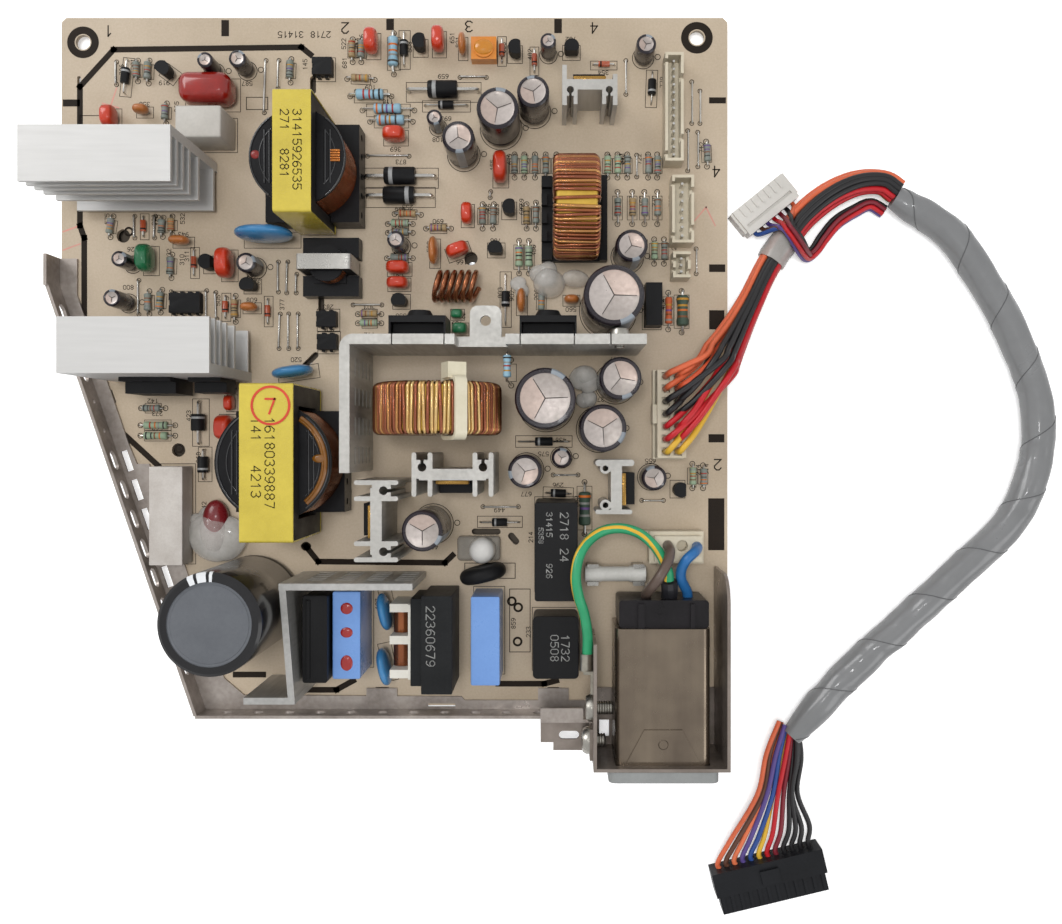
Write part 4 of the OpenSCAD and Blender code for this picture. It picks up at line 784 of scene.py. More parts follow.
        # The edge of each turn of tape shows as a fine dark line
        line = []
        for j in range(6 * (len(rings) - 1)):
            k, u = j // 6, j % 6 / 6
            place = (marks[k] * (1 - u) + marks[k + 1] * u) / (TAPE_PITCH * MM) % 1.0 * SLEEVE_SIDES
            n, v = int(place), place % 1
            low, high = (
                rings[i][n].co * (1 - v) + rings[i][(n + 1) % SLEEVE_SIDES].co * v for i in (k, k + 1))
            line.append(low * (1 - u) + high * u)
        sweep(bm, line, 0.17 * MM, sides=6, index=1)
        seam = finish("sleeve_seam", "5b5c5d", "4c4d4e", roughness=0.5, bump=0.2)
        tube = piece(
            "sleeve_tube", bm, [sleeve_finish(settings), seam], replaces=["harness_sleeve"],
            sharp=60)

    def tail(self, settings):
        """The wires that leave the sleeve and spread to the black connector's twelve ways."""
        paints = ["orange", "brown", "pink", "violet", "blue", "yellow", "red", "dark_red",
                  "black", "black", "black", "black"]
        turn = math.radians(BLACK_PLUG_TURN)
        along = Vector((math.cos(turn), math.sin(turn), 0))
        out = Vector((-math.sin(turn), math.cos(turn), 0))
        rng = random.Random(11)
        for k, paint in enumerate(paints):
            step = k - 5.5
            end = at(*BLACK_PLUG, 0.2) + along * step * BLACK_PLUG_PITCH * MM + out * 6.2 * MM
            level = (0.9, -0.5, -1.9)[k % 3]
            start = at(238.1 + 0.62 * step, -10.2 - 0.42 * step, level * 0.8 + 0.6)
            middle = start * 0.5 + end * 0.5
            bow = along * rng.uniform(-0.9, 0.9) * MM + Vector((0, 0, rng.uniform(0.4, 1.8) * MM))
            points = smooth_route([
                start, start * 0.78 + end * 0.22 + bow * 0.4, middle + bow - along * step * 0.45 * MM,
                start * 0.2 + end * 0.8 + bow * 0.4 + along * step * 0.1 * MM,
                end + out * 2.4 * MM, end])
            wire = curve_piece(
                "tail_wire_%d" % (k + 1), points, settings.signal_wire * 1.1, wire_finish(paint))
            if k == 0:
                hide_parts("harness_tail")


def sleeve_finish(settings):
    return finish(
        "sleeve_film", settings.sleeve_colour, tuple(c * 0.82 for c in settings.sleeve_colour),
        roughness=0.34, spread=0.2, bump=0.5, depth=0.2, coat=0.5, effect="grain",
        Stretch=(1.0, 1.0, 0.4), Scale=260.0, Smudge=0.7)


class SUPPLY_OT_mains(bpy.types.Operator):
    """Builds the earth wire, the two mains wires and the sleeve on the earth wire's end"""
    bl_idname = "supply.mains"
    bl_label = "Mains wires"

    def execute(self, context):
        ends = {"earth": (EARTH_ROUTE, "green"), "brown": (BROWN_ROUTE, "mains_brown"),
                "blue": (BLUE_ROUTE, "mains_blue")}
        for name, (points, paint) in ends.items():
            slot = "earth_wire" if name == "earth" else "mains_wires"
            path = route(points)
            wire = curve_piece(name + "_lead", path, MAINS_WIRE * MM, wire_finish(paint), resolution=5)
            if name != "blue":
                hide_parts(slot)
            if route_length(path) >= 0.03:
                [self.stripe(path)] if name == "earth" else []
        dress("wire_sleeve", finish(
            "shrink_black", "26262a", "1a1a1c", roughness=0.45, spread=0.15, bump=0.2, depth=0.05))
        return {"FINISHED"}

    def stripe(self, path):
        """The yellow line that winds round the earth wire."""
        bm = bmesh.new()
        reach = MAINS_WIRE / 2
        line = []
        for k, (point, (left, up)) in enumerate(zip(path, level_sides(path))):
            turn = math.radians(190 * k / len(path) - 40)
            line.append(point + around(left, up, turn) * (0.45 * reach + 0.07) * MM)
        sweep(bm, line, 0.55 * reach * MM, sides=16)
        return piece("earth_stripe", bm, [finish(
            "pvc_yellow", "adc93a", "98b32e", roughness=0.4, spread=0.14, bump=0.12)], sharp=60)


# The camera's place on the board in millimetres, and how far its picture is shifted
CAMERA_SPOT = (161.87, 81.83)
CAMERA_SHIFT = (-0.02354, -0.01507)
SENSOR_WIDTH = 36
# The middle that the lamps point at and the floor is laid round, a little under the lowest part
STAGE_MIDDLE = Vector((0.05, -0.02, 0))
FLOOR_HALF = 0.9
FLOOR_DROP = 0.0002
FLOOR_GLOW = 0.4
# Painted shadow: the floor's colour under the board
FLOOR_SHADE = (0.09, 0.075, 0.06, 1)
# Brightness of the surroundings for rays that light the supply, and what glossy rays add to it
AMBIENT = 0.34
GLOSSY_EXTRA = 0.45
# Where the board shades the floor: axis, middle and half width, and the slant of its cut corner
BOARD_SHADE = [(0, -0.051, 0.098), (1, 0.03, 0.094)]
CUT_CORNER = (0.379, -0.1305)
LAMPS = [
    ("lamp_main", (-0.8, 0.7, 0.9), 0.6, 0.95),
    ("lamp_front", (0.0, 0.0, 0.95), 0.3, 0.85),
    ("lamp_sheen", (-0.04, 0.1, 0.9), 0.07, 0.075),
    ("lamp_fill", (0.9, -0.5, 0.8), 0.6, 0.35),
]


class SUPPLY_OT_stage(bpy.types.Operator):
    """Sets the camera above the board, the pale floor, the lamps and the surroundings"""
    bl_idname = "supply.stage"
    bl_label = "Stage"

    def execute(self, context):
        settings = context.scene.supply_stage
        self.camera(context, settings)
        self.floor(settings)
        self.lamps(context, settings)
        self.surroundings(context)
        context.scene.view_settings.view_transform = "Standard"
        return {"FINISHED"}

    def camera(self, context, settings):
        data = bpy.data.cameras.new("camera")
        data.lens = settings.lens
        data.sensor_width = SENSOR_WIDTH
        data.shift_x, data.shift_y = CAMERA_SHIFT
        data.clip_start = 0.01
        camera = bpy.data.objects.new("camera", data)
        camera.location = at(*CAMERA_SPOT, settings.camera_height / MM)
        context.scene.collection.objects.link(camera)
        context.scene.camera = camera

    def floor(self, settings):
        bm = bmesh.new()
        bmesh.ops.create_grid(bm, x_segments=8, y_segments=8, size=FLOOR_HALF)
        mesh = bpy.data.meshes.new("floor")
        bm.to_mesh(mesh)
        bm.free()
        floor = bpy.data.objects.new("floor", mesh)
        floor.location = STAGE_MIDDLE - Vector((0, 0, FLOOR_DROP))
        bpy.context.scene.collection.objects.link(floor)
        material = bpy.data.materials.new("floor_paper")
        material.use_nodes = True
        tree = material.node_tree
        shader = tree.nodes["Principled BSDF"]
        where = tree.nodes.new("ShaderNodeTexCoord")
        fibres = linked(tree, "ShaderNodeTexNoise", Scale=40.0, Detail=4.0, links=[
            ("Vector", where.outputs["Object"])])
        colour = linked(tree, "ShaderNodeMix", data_type="RGBA", links=[(0, fibres.outputs[0])])
        base = tuple(settings.floor_colour)
        colour.inputs[6].default_value = (*base, 1)
        colour.inputs[7].default_value = (*(c * 0.985 for c in base), 1)
        shader.inputs["Roughness"].default_value = 0.9
        # The floor shines white to the camera, but not through the slots of the board
        spot = linked(tree, "ShaderNodeSeparateXYZ", links=[("Vector", where.outputs["Object"])]).outputs
        outside = []
        for axis, middle, half in BOARD_SHADE:
            off = maths(tree, "ABSOLUTE", maths(tree, "SUBTRACT", spot[axis], middle))
            outside.append(maths(tree, "GREATER_THAN", off, half))
        slope, limit = CUT_CORNER
        outside.append(maths(tree, "LESS_THAN", maths(tree, "MULTIPLY_ADD", spot[1], slope, spot[0]), limit))
        open_floor = outside[0]
        for side in outside[1:]:
            open_floor = maths(tree, "MAXIMUM", open_floor, side)
        # Under the board the floor's colour is a painted shadow of the board, seen through its holes and
        # slots
        shade = linked(tree, "ShaderNodeMix", data_type="RGBA", links=[
            (0, open_floor), (7, colour.outputs[2])])
        shade.inputs[6].default_value = FLOOR_SHADE
        tree.links.new(shade.outputs[2], shader.inputs["Base Color"])
        rays = tree.nodes.new("ShaderNodeLightPath")
        shown = maths(tree, "MULTIPLY", rays.outputs["Is Camera Ray"], open_floor)
        shown = maths(tree, "MULTIPLY", shown, FLOOR_GLOW)
        shader.inputs["Emission Color"].default_value = (1, 1, 1, 1)
        tree.links.new(shown, shader.inputs["Emission Strength"])
        mesh.materials.append(material)

    def lamps(self, context, settings):
        for name, place, size, power in LAMPS:
            data = bpy.data.lights.new(name, "AREA")
            data.size = size
            data.energy = settings.lamp_power * power
            lamp = bpy.data.objects.new(name, data)
            lamp.location = place
            # The front lamp lights the deep places; a mirror image of it would bleach the flat tops
            lamp.visible_glossy = name != "lamp_front"
            ahead = STAGE_MIDDLE - lamp.location
            lamp.rotation_euler = ahead.to_track_quat("-Z", "Y").to_euler()
            context.scene.collection.objects.link(lamp)

    def surroundings(self, context):
        world = bpy.data.worlds.new("studio")
        context.scene.world = world
        world.use_nodes = True
        tree = world.node_tree
        back = tree.nodes["Background"]
        back.inputs["Color"].default_value = (1, 1, 1, 1)
        rays = tree.nodes.new("ShaderNodeLightPath")
        seen = linked(tree, "ShaderNodeMath", operation="ADD", use_clamp=True, links=[
            (0, rays.outputs["Is Camera Ray"]), (1, rays.outputs["Is Transmission Ray"])])
        level = linked(tree, "ShaderNodeMapRange", To_Min=AMBIENT, To_Max=1.0, links=[
            ("Value", seen.outputs[0])])
        level = maths(tree, "MULTIPLY_ADD", rays.outputs["Is Glossy Ray"], GLOSSY_EXTRA, level.outputs[0])
        tree.links.new(level, back.inputs["Strength"])


class Lump:
    """The measures of one solid: its middle, its level direction, and its reach along and across."""

    def __init__(self, corners):
        self.corners = corners
        self.low, self.high = span(corners)
        middle = (self.low + self.high) / 2
        best = None
        # The turn at which the solid's level box is smallest
        for step in range(90):
            turn = math.radians(2 * step)
            along = Vector((math.cos(turn), math.sin(turn), 0))
            across = Vector((-along.y, along.x, 0))
            a = [c.dot(along) for c in corners]
            b = [c.dot(across) for c in corners]
            area = (max(a) - min(a)) * (max(b) - min(b))
            if max(a) - min(a) >= max(b) - min(b) - 1e-6 and (best is None or area < best[0] - 1e-9):
                best = (area, turn, along, across, a, b)
        _, self.turn, self.along, self.across, a, b = best
        self.length, self.width = max(a) - min(a), max(b) - min(b)
        centre = self.along * (max(a) + min(a)) / 2 + self.across * (max(b) + min(b)) / 2
        self.middle = Vector((centre.x, centre.y, middle.z))
        self.top, self.bottom = self.high.z, self.low.z

    def spot(self, z):
        """The solid's middle at a height."""
        return Vector((self.middle.x, self.middle.y, z))

    def place(self, z):
        """A matrix at the solid's middle at a height, turned along it."""
        return Matrix.Translation(self.spot(z)) @ Matrix.Rotation(self.turn, 4, "Z")

    def board(self):
        """The middle in millimetres from the board's corner."""
        return (self.middle - BOARD_ORIGIN) / MM


def near(lump, places, within=4.0):
    """Whether the solid is at one of the places, given in millimetres on the board."""
    spot = lump.board()
    return any(math.hypot(spot.x - x, spot.y - y) < within for x, y in places)


def box_form(bm, place, size, low=(0, 0, 0), radius=0.3, index=0, segments=2):
    """A box with rounded edges; low is its lowest corner before place."""
    made = bmesh.ops.create_cube(bm, size=1.0)
    verts = made["verts"]
    shift = Vector(low) + Vector(size) / 2
    for vert in verts:
        vert.co = Vector([vert.co[k] * size[k] for k in range(3)]) + shift
    edges = list({edge for vert in verts for edge in vert.link_edges})
    made = bmesh.ops.bevel(
        bm, geom=edges, offset=radius, segments=segments, profile=0.5, affect="EDGES", clamp_overlap=True)
    faces = {face for face in made["faces"]}
    corners = {vert for face in faces for vert in face.verts}
    for vert in corners:
        faces.update(vert.link_faces)
    for face in faces:
        face.material_index = index
    for vert in {vert for face in faces for vert in face.verts}:
        vert.co = place @ vert.co


def turned_body(bm, lump, profile, axis_z, segments=16, flip=False):
    """A turned form lying along a solid; profile holds (distance along, radius, finish index)."""
    side = -1 if flip else 1
    middle = lump.spot(axis_z)
    place = Matrix.Translation(middle) @ Matrix.Rotation(lump.turn, 4, "Z") @ Matrix.Rotation(
        math.radians(90) * side, 4, "Y")
    revolve(bm, [(radius, along, index) for along, radius, index in profile], place, segments)


RESISTOR_BANDS = ["7a4a2a", "1c1b1a", "a03020", "b8862c", "6a4a86", "3a3632", "8a8a86", "c86a28"]
BODY_PAINTS = [
    ("carbon_film", "a08a66", 0.5), ("film_grey", "7e857e", 0.45), ("metal_film", "8fb4c6", 0.4),
    ("oxide_pale", "93a78c", 0.45), ("oxide_dark", "3d4f42", 0.5), ("flame_orange", "c2603a", 0.5),
]


def is_diode(lump):
    """Whether a solid of the small semiconductors lies on its leads, as the diodes do."""
    return lump.length > 2.2 * lump.width and lump.top - lump.bottom < 1.35 * lump.width


class SUPPLY_OT_axial_parts(bpy.types.Operator):
    """Builds the resistors with their colour bands, the diodes and their bent leads"""
    bl_idname = "supply.axial_parts"
    bl_label = "Resistors and diodes"

    def execute(self, context):
        rng = random.Random(21)
        finishes = [
            tinned_finish(context),
            finish("diode_glass", "b0522e", "8c3a22", roughness=0.15, spread=0.1, coat=0.6),
            finish("diode_black", "141415", "1d1d1e", roughness=0.42, spread=0.15, bump=0.25, specular=0.2),
            finish("cathode_silver", "9fa0a0", "8b8c8c", roughness=0.4, metallic=0.2),
        ]
        bodies = len(finishes)
        finishes += [finish(name, code, roughness=rough, bump=0.2) for name, code, rough in BODY_PAINTS]
        bands = len(finishes)
        finishes += [finish("band_" + code, code, roughness=0.45) for code in RESISTOR_BANDS]
        bm = bmesh.new()
        for lump in lumps_of("axial_parts"):
            size = lump.width / MM
            if 3.1 < size < 3.6 or near(lump, [(147.2, 105.8)], 3):
                paint = 2
            elif near(lump, [(198.6, 126)], 2.4):
                paint = 5
            elif size > 3.6:
                paint = 4
            elif size > 2.5 or near(lump, [(150, 143.6), (153, 143.6)], 2.5):
                paint = 3
            else:
                paint = rng.choice((0, 1, 1, 1, 3))
            self.one(bm, lump, rng, bodies + paint, bands)
        piece("axial_bodies", bm, finishes, replaces=["axial_parts"], sharp=40)
        bm = bmesh.new()
        for lump in filter(is_diode, lumps_of("small_semiconductors")):
            self.one(bm, lump, rng, 1 if lump.width < 2.1 * MM else 2, None)
        piece("diode_bodies", bm, finishes[:4], sharp=40)
        return {"FINISHED"}

    def one(self, bm, lump, rng, body_index, bands):
        """One part lying between its two bent leads."""
        reach = lump.width / 2
        axis_z = lump.top - reach
        wide = [
            (c - lump.middle).dot(lump.along) for c in lump.corners
            if abs((c - lump.middle).dot(lump.across)) > 0.8 * reach]
        half = (max(wide) - min(wide)) / 2
        shift = (max(wide) + min(wide)) / 2
        start = lump.middle - lump.along * (lump.length / 2 - 0.35 * MM)
        end = lump.middle + lump.along * (lump.length / 2 - 0.35 * MM)
        start.z = end.z = BOARD_ORIGIN.z
        thick = 0.28 if reach < 1.6 * MM else 0.42 if reach < 2.5 * MM else 0.6
        sweep(bm, bent_lead(start, end, axis_z - BOARD_ORIGIN.z), thick * MM)
        lump.middle += lump.along * shift
        flip = rng.random() < 0.5
        if bands:
            self.resistor(bm, lump, half, reach, axis_z, body_index, rng, bands, flip)
            return
        mark = 2 if body_index == 1 else 3
        turned_body(bm, lump, [
            (-half, reach * 0.5, body_index), (-half, reach * 0.9, body_index),
            (-half * 0.92, reach, body_index), (half * 0.42, reach, body_index),
            (half * 0.43, reach * 1.006, mark), (half * 0.68, reach * 1.006, mark),
            (half * 0.69, reach, body_index), (half * 0.92, reach, body_index),
            (half, reach * 0.9, body_index), (half, reach * 0.5, body_index)],
            axis_z, segments=24, flip=flip)

    def resistor(self, bm, lump, half, reach, axis_z, base, rng, bands, flip):
        """A body with fuller ends and four colour bands."""
        def radius(t):
            end = abs(t)
            return reach * (1.0 if end > 0.62 else 0.86 + 0.14 * max(0.0, (end - 0.42) / 0.2))

        marks = [(-0.80, 0.14), (-0.38, 0.13), (-0.08, 0.13), (0.34, 0.13)]
        colours = [bands + rng.randrange(len(RESISTOR_BANDS)) for _ in range(4)]
        ends = [(0.9, 0.98), (0.97, 0.8), (1, 0.35)]
        profile = [(-half * along, reach * wide, base) for along, wide in reversed(ends)]
        for (place, wide), colour in zip(marks, colours):
            profile.append((half * (place - 0.02), radius(place), base))
            profile.append((half * place, radius(place) * 1.01, base))
            profile.append((half * (place + wide), radius(place + wide) * 1.01, colour))
            profile.append((half * (place + wide + 0.02), radius(place + wide), base))
        profile += [(half * 0.6, radius(0.6), base), (half * 0.66, reach, base)]
        profile += [(half * along, reach * wide, base) for along, wide in ends]
        turned_body(bm, lump, profile, axis_z, segments=14, flip=flip)


def tinned_finish(context):
    return finish(
        "tinned_wire", context.scene.supply_metal.tinned, roughness=0.3, spread=0.2, metallic=1.0, bump=0.1,
        Patch_Scale=300.0)


class SUPPLY_OT_links(bpy.types.Operator):
    """Builds the bare wire links, bent down into the board at both ends"""
    bl_idname = "supply.links"
    bl_label = "Wire links"

    def execute(self, context):
        bm = bmesh.new()
        for lump in lumps_of("wire_links"):
            reach = lump.length / 2 - 0.3 * MM
            start, end = lump.middle - lump.along * reach, lump.middle + lump.along * reach
            start.z = end.z = BOARD_ORIGIN.z
            sweep(bm, bent_lead(start, end, lump.top - 0.32 * MM - BOARD_ORIGIN.z, bend=0.7 * MM), 0.31 * MM)
        piece("link_wires", bm, [tinned_finish(context)], replaces=["wire_links"], sharp=60)
        return {"FINISHED"}


# Light marks on the main capacitor's shoulder, as spans of turn: partly its print, partly a painted highlight
# where the shoulder catches the light
SHOULDER_MARKS = [(1.50, 1.57), (1.63, 1.83), (1.88, 2.02)]


class SUPPLY_OT_cans(bpy.types.Operator):
    """Builds the electrolytic capacitors: sleeve drawn over the rim, stamped top and polarity stripe"""
    bl_idname = "supply.cans"
    bl_label = "Electrolytic capacitors"

    def execute(self, context):
        bm = bmesh.new()
        # The tops' three colours are painted light and shade: the sectors between the stamped lines get a
        # lighter, a darker and a rosier copy of one metal, as if each caught the light its own way
        tops = [
            finish("can_top" + name, code, other, roughness=0.36, spread=0.2, metallic=0.6, bump=0.3,
                   effect="grain", Scale=700.0)
            for name, code, other in (
                ("", "c3bab5", "a9a09b"), ("_shade", "b1a8a2", "9b938e"), ("_rose", "c4b2a8", "ae9d94"))]
        finishes = [
            finish("can_sleeve", "17131a", "20171e", roughness=0.28, spread=0.15, bump=0.15, coat=0.2,
                   specular=0.4),
            tops[0],
            finish("can_stripe", "8d949b", "7b8289", roughness=0.4),
            # Painted shade for the stamped grooves on the tops
            finish("can_score_shade", "4d4744", "3f3a38", roughness=0.5, metallic=0.5),
            finish("can_seal", "1a1a1b", roughness=0.7),
            *tops[1:],
        ]
        rng = random.Random(4)
        for lump in lumps_of("capacitor_sleeves"):
            self.one(bm, lump, rng)
        piece(
            "can_shapes", bm, finishes, replaces=["capacitor_cans", "capacitor_sleeves"],
            sharp=40)
        self.main_capacitor()
        return {"FINISHED"}

    def one(self, bm, lump, rng):
        r = lump.width / 2 / MM
        low, top = lump.bottom, lump.top
        tall = (top - low) / MM
        rim = 0.13 * r + 0.45
        place = Matrix.Translation(lump.spot(low)) @ Matrix.Rotation(
            rng.uniform(0, 6.28), 4, "Z") @ Matrix.Scale(MM, 4)
        first = len(bm.faces)
        revolve(bm, [
            (0.0, 0.0, 4), (r * 0.8, 0.05, 4), (r * 0.93, 0.15, 0), (r, 0.9, 0),
            (r, 1.5, 0), (r * 0.965, 1.9, 0), (r * 0.965, 2.3, 0), (r, 2.7, 0), (r, tall - 0.9, 0),
            (r * 0.985, tall - 0.35, 0), (r - 0.55, tall, 0), (r - rim, tall - 0.06, 0),
            (r - rim - 0.03, tall - 0.22, 1), (r - rim - 0.5, tall - 0.34, 1), (0.0, tall - 0.34, 1),
        ], place, segments=48 if r > 4 else 32)
        bm.faces.ensure_lookup_table()
        # The stripe on one side of the sleeve
        inverse = place.inverted()
        half = 0.32 if r < 4 else 0.24
        for face in bm.faces[first:]:
            spot = inverse @ face.calc_center_median()
            turn = math.atan2(spot.y, spot.x)
            if face.material_index == 0 and abs(turn) < half and spot.z > 0.6:
                face.material_index = 2
            # Painted light and shade: each sector of the top takes one of the three copies of the top's metal
            if face.material_index == 1:
                face.material_index = (1, 5, 6)[int((turn + math.pi) / (2 * math.pi) * 3) % 3]
        self.score(bm, place, r - rim - 0.7, tall - 0.31)

    def score(self, bm, place, reach, z):
        """Three stamped lines where the top would open under pressure, each a low ridge whose dark finish is
        painted shade standing for the groove.
        """
        for third in full_turn(3):
            turn = third + math.pi / 3
            along = Vector((math.cos(turn), math.sin(turn), 0))
            side = Vector((-along.y, along.x, 0)) * (0.09 + 0.012 * reach)
            corners = [-side, along * reach - side * 0.6, along * reach + side * 0.6, side]
            base = [bm.verts.new(place @ (c + Vector((0, 0, z)))) for c in corners]
            ridge = [bm.verts.new(place @ (c * 0.96 + Vector((0, 0, z + 0.09)))) for c in corners]
            bm.faces.new(ridge).material_index = 3
            for n in range(4):
                m = (n + 1) % 4
                bm.faces.new([base[n], base[m], ridge[m], ridge[n]]).material_index = 3

    def main_capacitor(self):
        lump = max(lumps_of("main_capacitor"), key=lambda each: each.width)
        r = lump.width / 2 / MM
        tall = (lump.top - lump.bottom) / MM
        bm = bmesh.new()
        place = Matrix.Translation(lump.spot(lump.bottom)) @ Matrix.Scale(MM, 4)
        revolve(bm, [
            (0.0, 0.0, 0), (r * 0.86, 0.0, 0), (r * 0.97, 0.5, 0), (r, 1.6, 0), (r, 3.2, 0),
            (r * 0.975, 3.8, 0), (r * 0.975, 4.4, 0), (r, 5.0, 0), (r, tall - 1.6, 0),
            (r * 0.99, tall - 0.6, 0), (r - 1.0, tall, 0), (r - 2.9, tall, 0), (r - 3.0, tall - 0.35, 1),
            (r - 3.7, tall - 0.5, 1), (r - 3.85, tall - 0.36, 1), (0.0, tall - 0.36, 1),
        ], place, segments=96)
        # Light marks on the sleeve's shoulder: partly print, partly a painted highlight
        for face in bm.faces:
            spot = place.inverted() @ face.calc_center_median()
            turn = math.atan2(spot.y, spot.x)
            if spot.z > tall - 1.2 and spot.xy.length > r - 2.9 and any(
                    low < turn < high for low, high in SHOULDER_MARKS):
                face.material_index = 2
        piece("main_capacitor_shape", bm, [
            finish("main_sleeve", "121214", "1b1b1d", roughness=0.22, spread=0.14, bump=0.12, coat=0.3,
                   specular=0.3),
            finish("main_top", "5f6267", "53565b", roughness=0.55, spread=0.15, bump=0.35, Patch_Scale=80.0),
            finish("main_print_and_highlight", "e2e4e6", "cfd1d4", roughness=0.35, bump=0.05),
        ], replaces=["main_capacitor"], sharp=35)


# Turns round the big ring and the small one, and the small one's bare stretches in degrees
BIG_RING_TURNS = 94
SMALL_RING_TURNS = 74
SMALL_RING_GAPS = [(79, 84), (90, 94)]
# The air coil's middle, the reach and distance of its turns, and the thickness of its wire
COIL_MIDDLE = (129.6, 133.2, 6)
COIL_REACH = 4.6
COIL_PITCH = 2.3
COIL_TURNS = 6
COIL_STEPS = 16
COIL_WIRE = 1.6


class SUPPLY_OT_wound_rings(bpy.types.Operator):
    """Winds the two ring chokes and the air coil turn by turn"""
    bl_idname = "supply.wound_rings"
    bl_label = "Ring chokes and coil"

    def execute(self, context):
        settings = context.scene.supply_wound
        rings = lumps_of("toroid_cores")
        big = max(rings, key=lambda lump: lump.length)
        small = min(rings, key=lambda lump: lump.length)
        bm = bmesh.new()
        # The big ring's axis lies along the board's long side, the small one's along its short side
        self.winding(bm, big, Vector((0, 1, 0)), settings.wire, BIG_RING_TURNS, [])
        self.winding(bm, small, Vector((1, 0, 0)), settings.wire, SMALL_RING_TURNS, SMALL_RING_GAPS)
        # The amber, rose and gold copies of the copper are painted sheen and painted highlight
        copper_and_sheens = [enamel_finish(settings)] + [
            finish("enamel_" + name, code, other, roughness=0.22, spread=0.14, metallic=0.85, coat=0.5,
                   effect="grain", Scale=300.0, Smudge=0.8)
            for name, code, other in (
                ("amber", "cb9a5c", "a86c3c"), ("rose", "a05c3e", "84482f"), ("gold", "e6c88c", "c79a58"))]
        piece("ring_wires", bm, copper_and_sheens, replaces=["toroid_windings"], sharp=60)
        dress("toroid_cores", finish(
            "core_yellow", "d3b04a", "b8963a", roughness=0.5, bump=0.25, Patch_Scale=150.0))
        dress("toroid_bases", black_plastic("base_black", "141415", "1d1d1e", roughness=0.45, bump=0.2))
        dress("cable_tie", finish(
            "tie_nylon", "dcd5bf", "cfc7ae", roughness=0.35, bump=0.1, Patch_Scale=120.0))
        self.air_coil()
        return {"FINISHED"}

    def winding(self, bm, ring, axis, wire, turns, gaps):
        """Closed turns round a ring's section; every other turn lies deeper in the bore."""
        rng = random.Random(turns)
        middle = (ring.low + ring.high) / 2
        up = Vector((0, 0, 1))
        side = axis.cross(up)
        reach = wire / 2
        outer = (ring.high.z - ring.low.z) / 2 + reach
        half = abs((ring.high - ring.low).dot(axis)) / 2 + reach
        bore = min(math.hypot((c - middle).dot(side), c.z - middle.z) for c in ring.corners) - reach
        for k in range(turns):
            # The winding starts and ends beside the board
            degrees = -90 + 9 + 342 * (k + 0.5) / turns
            if any(low < degrees < high for low, high in gaps):
                continue
            turn = math.radians(degrees)
            out = side * math.cos(turn) + up * math.sin(turn)
            inner = bore - (wire if k % 2 else 0)
            lean = axis.cross(out) * rng.uniform(-0.25, 0.25) * MM
            points = [
                middle + out * radius + axis * along + lean * (along / half)
                for radius, along in rounded_rectangle((inner, -half), (outer, half), 1.5 * MM)]
            # The turns take the copper, amber and rose copies in turn as painted sheen; on the big ring the
            # turns over its top are painted gold as a highlight
            highlight_turn = not gaps and 0.36 < k / turns < 0.56 and k % 3 != 2
            self.closed_loop(bm, points, reach, 3 if highlight_turn else k % 3)

    def closed_loop(self, bm, points, radius, index):
        """A round bar along a closed path."""
        count = len(points)
        centre = sum(points, Vector()) / count
        normal = (points[0] - centre).cross(points[count // 3] - centre).normalized()
        rings = []
        for k in range(count):
            ahead = (points[(k + 1) % count] - points[k - 1]).normalized()
            out = ahead.cross(normal).normalized()
            rings.append([
                bm.verts.new(points[k] + radius * around(out, normal, turn)) for turn in full_turn(8)])
        skin(bm, rings, index, looped=True)

    def air_coil(self):
        """A self-supporting coil of thick wire with both ends bent into the board."""
        middle = at(*COIL_MIDDLE)
        reach = COIL_REACH * MM
        points = []
        count = COIL_TURNS * COIL_STEPS
        for k in range(count + 1):
            turn = 2 * math.pi * k / COIL_STEPS - math.pi / 2
            along = (k / count - 0.5) * COIL_TURNS * (COIL_PITCH * MM)
            lean = 1.5 * MM * math.cos(turn)
            points.append(middle + Vector((along + lean, reach * math.cos(turn), reach * math.sin(turn))))
        bottom = BOARD_ORIGIN.z
        first, last = points[0].copy(), points[-1].copy()
        points = [Vector((first.x - 0.2 * MM, first.y, bottom))] + points + [
            Vector((last.x + 0.2 * MM, last.y, bottom))]
        bm = bmesh.new()
        sweep(bm, points, COIL_WIRE / 2 * MM, sides=10)
        piece("air_coil_wire", bm, [finish(
            "enamel_dark", "a5653c", "7a432a", roughness=0.24, spread=0.15, metallic=0.8, coat=0.5,
            bump=0.1)], replaces=["air_coil"], sharp=60)


def enamel_finish(settings):
    """Copper under clear enamel, whose lustre wanders from amber to rose."""
    return finish(
        "enamel_copper", settings.copper, "7f4529", roughness=0.24, spread=0.16, metallic=0.85, coat=0.5,
        bump=0.12, effect="grain", Stretch=(1.0, 1.0, 1.0), Scale=320.0, Smudge=0.75)


# ---- The board and its print ----

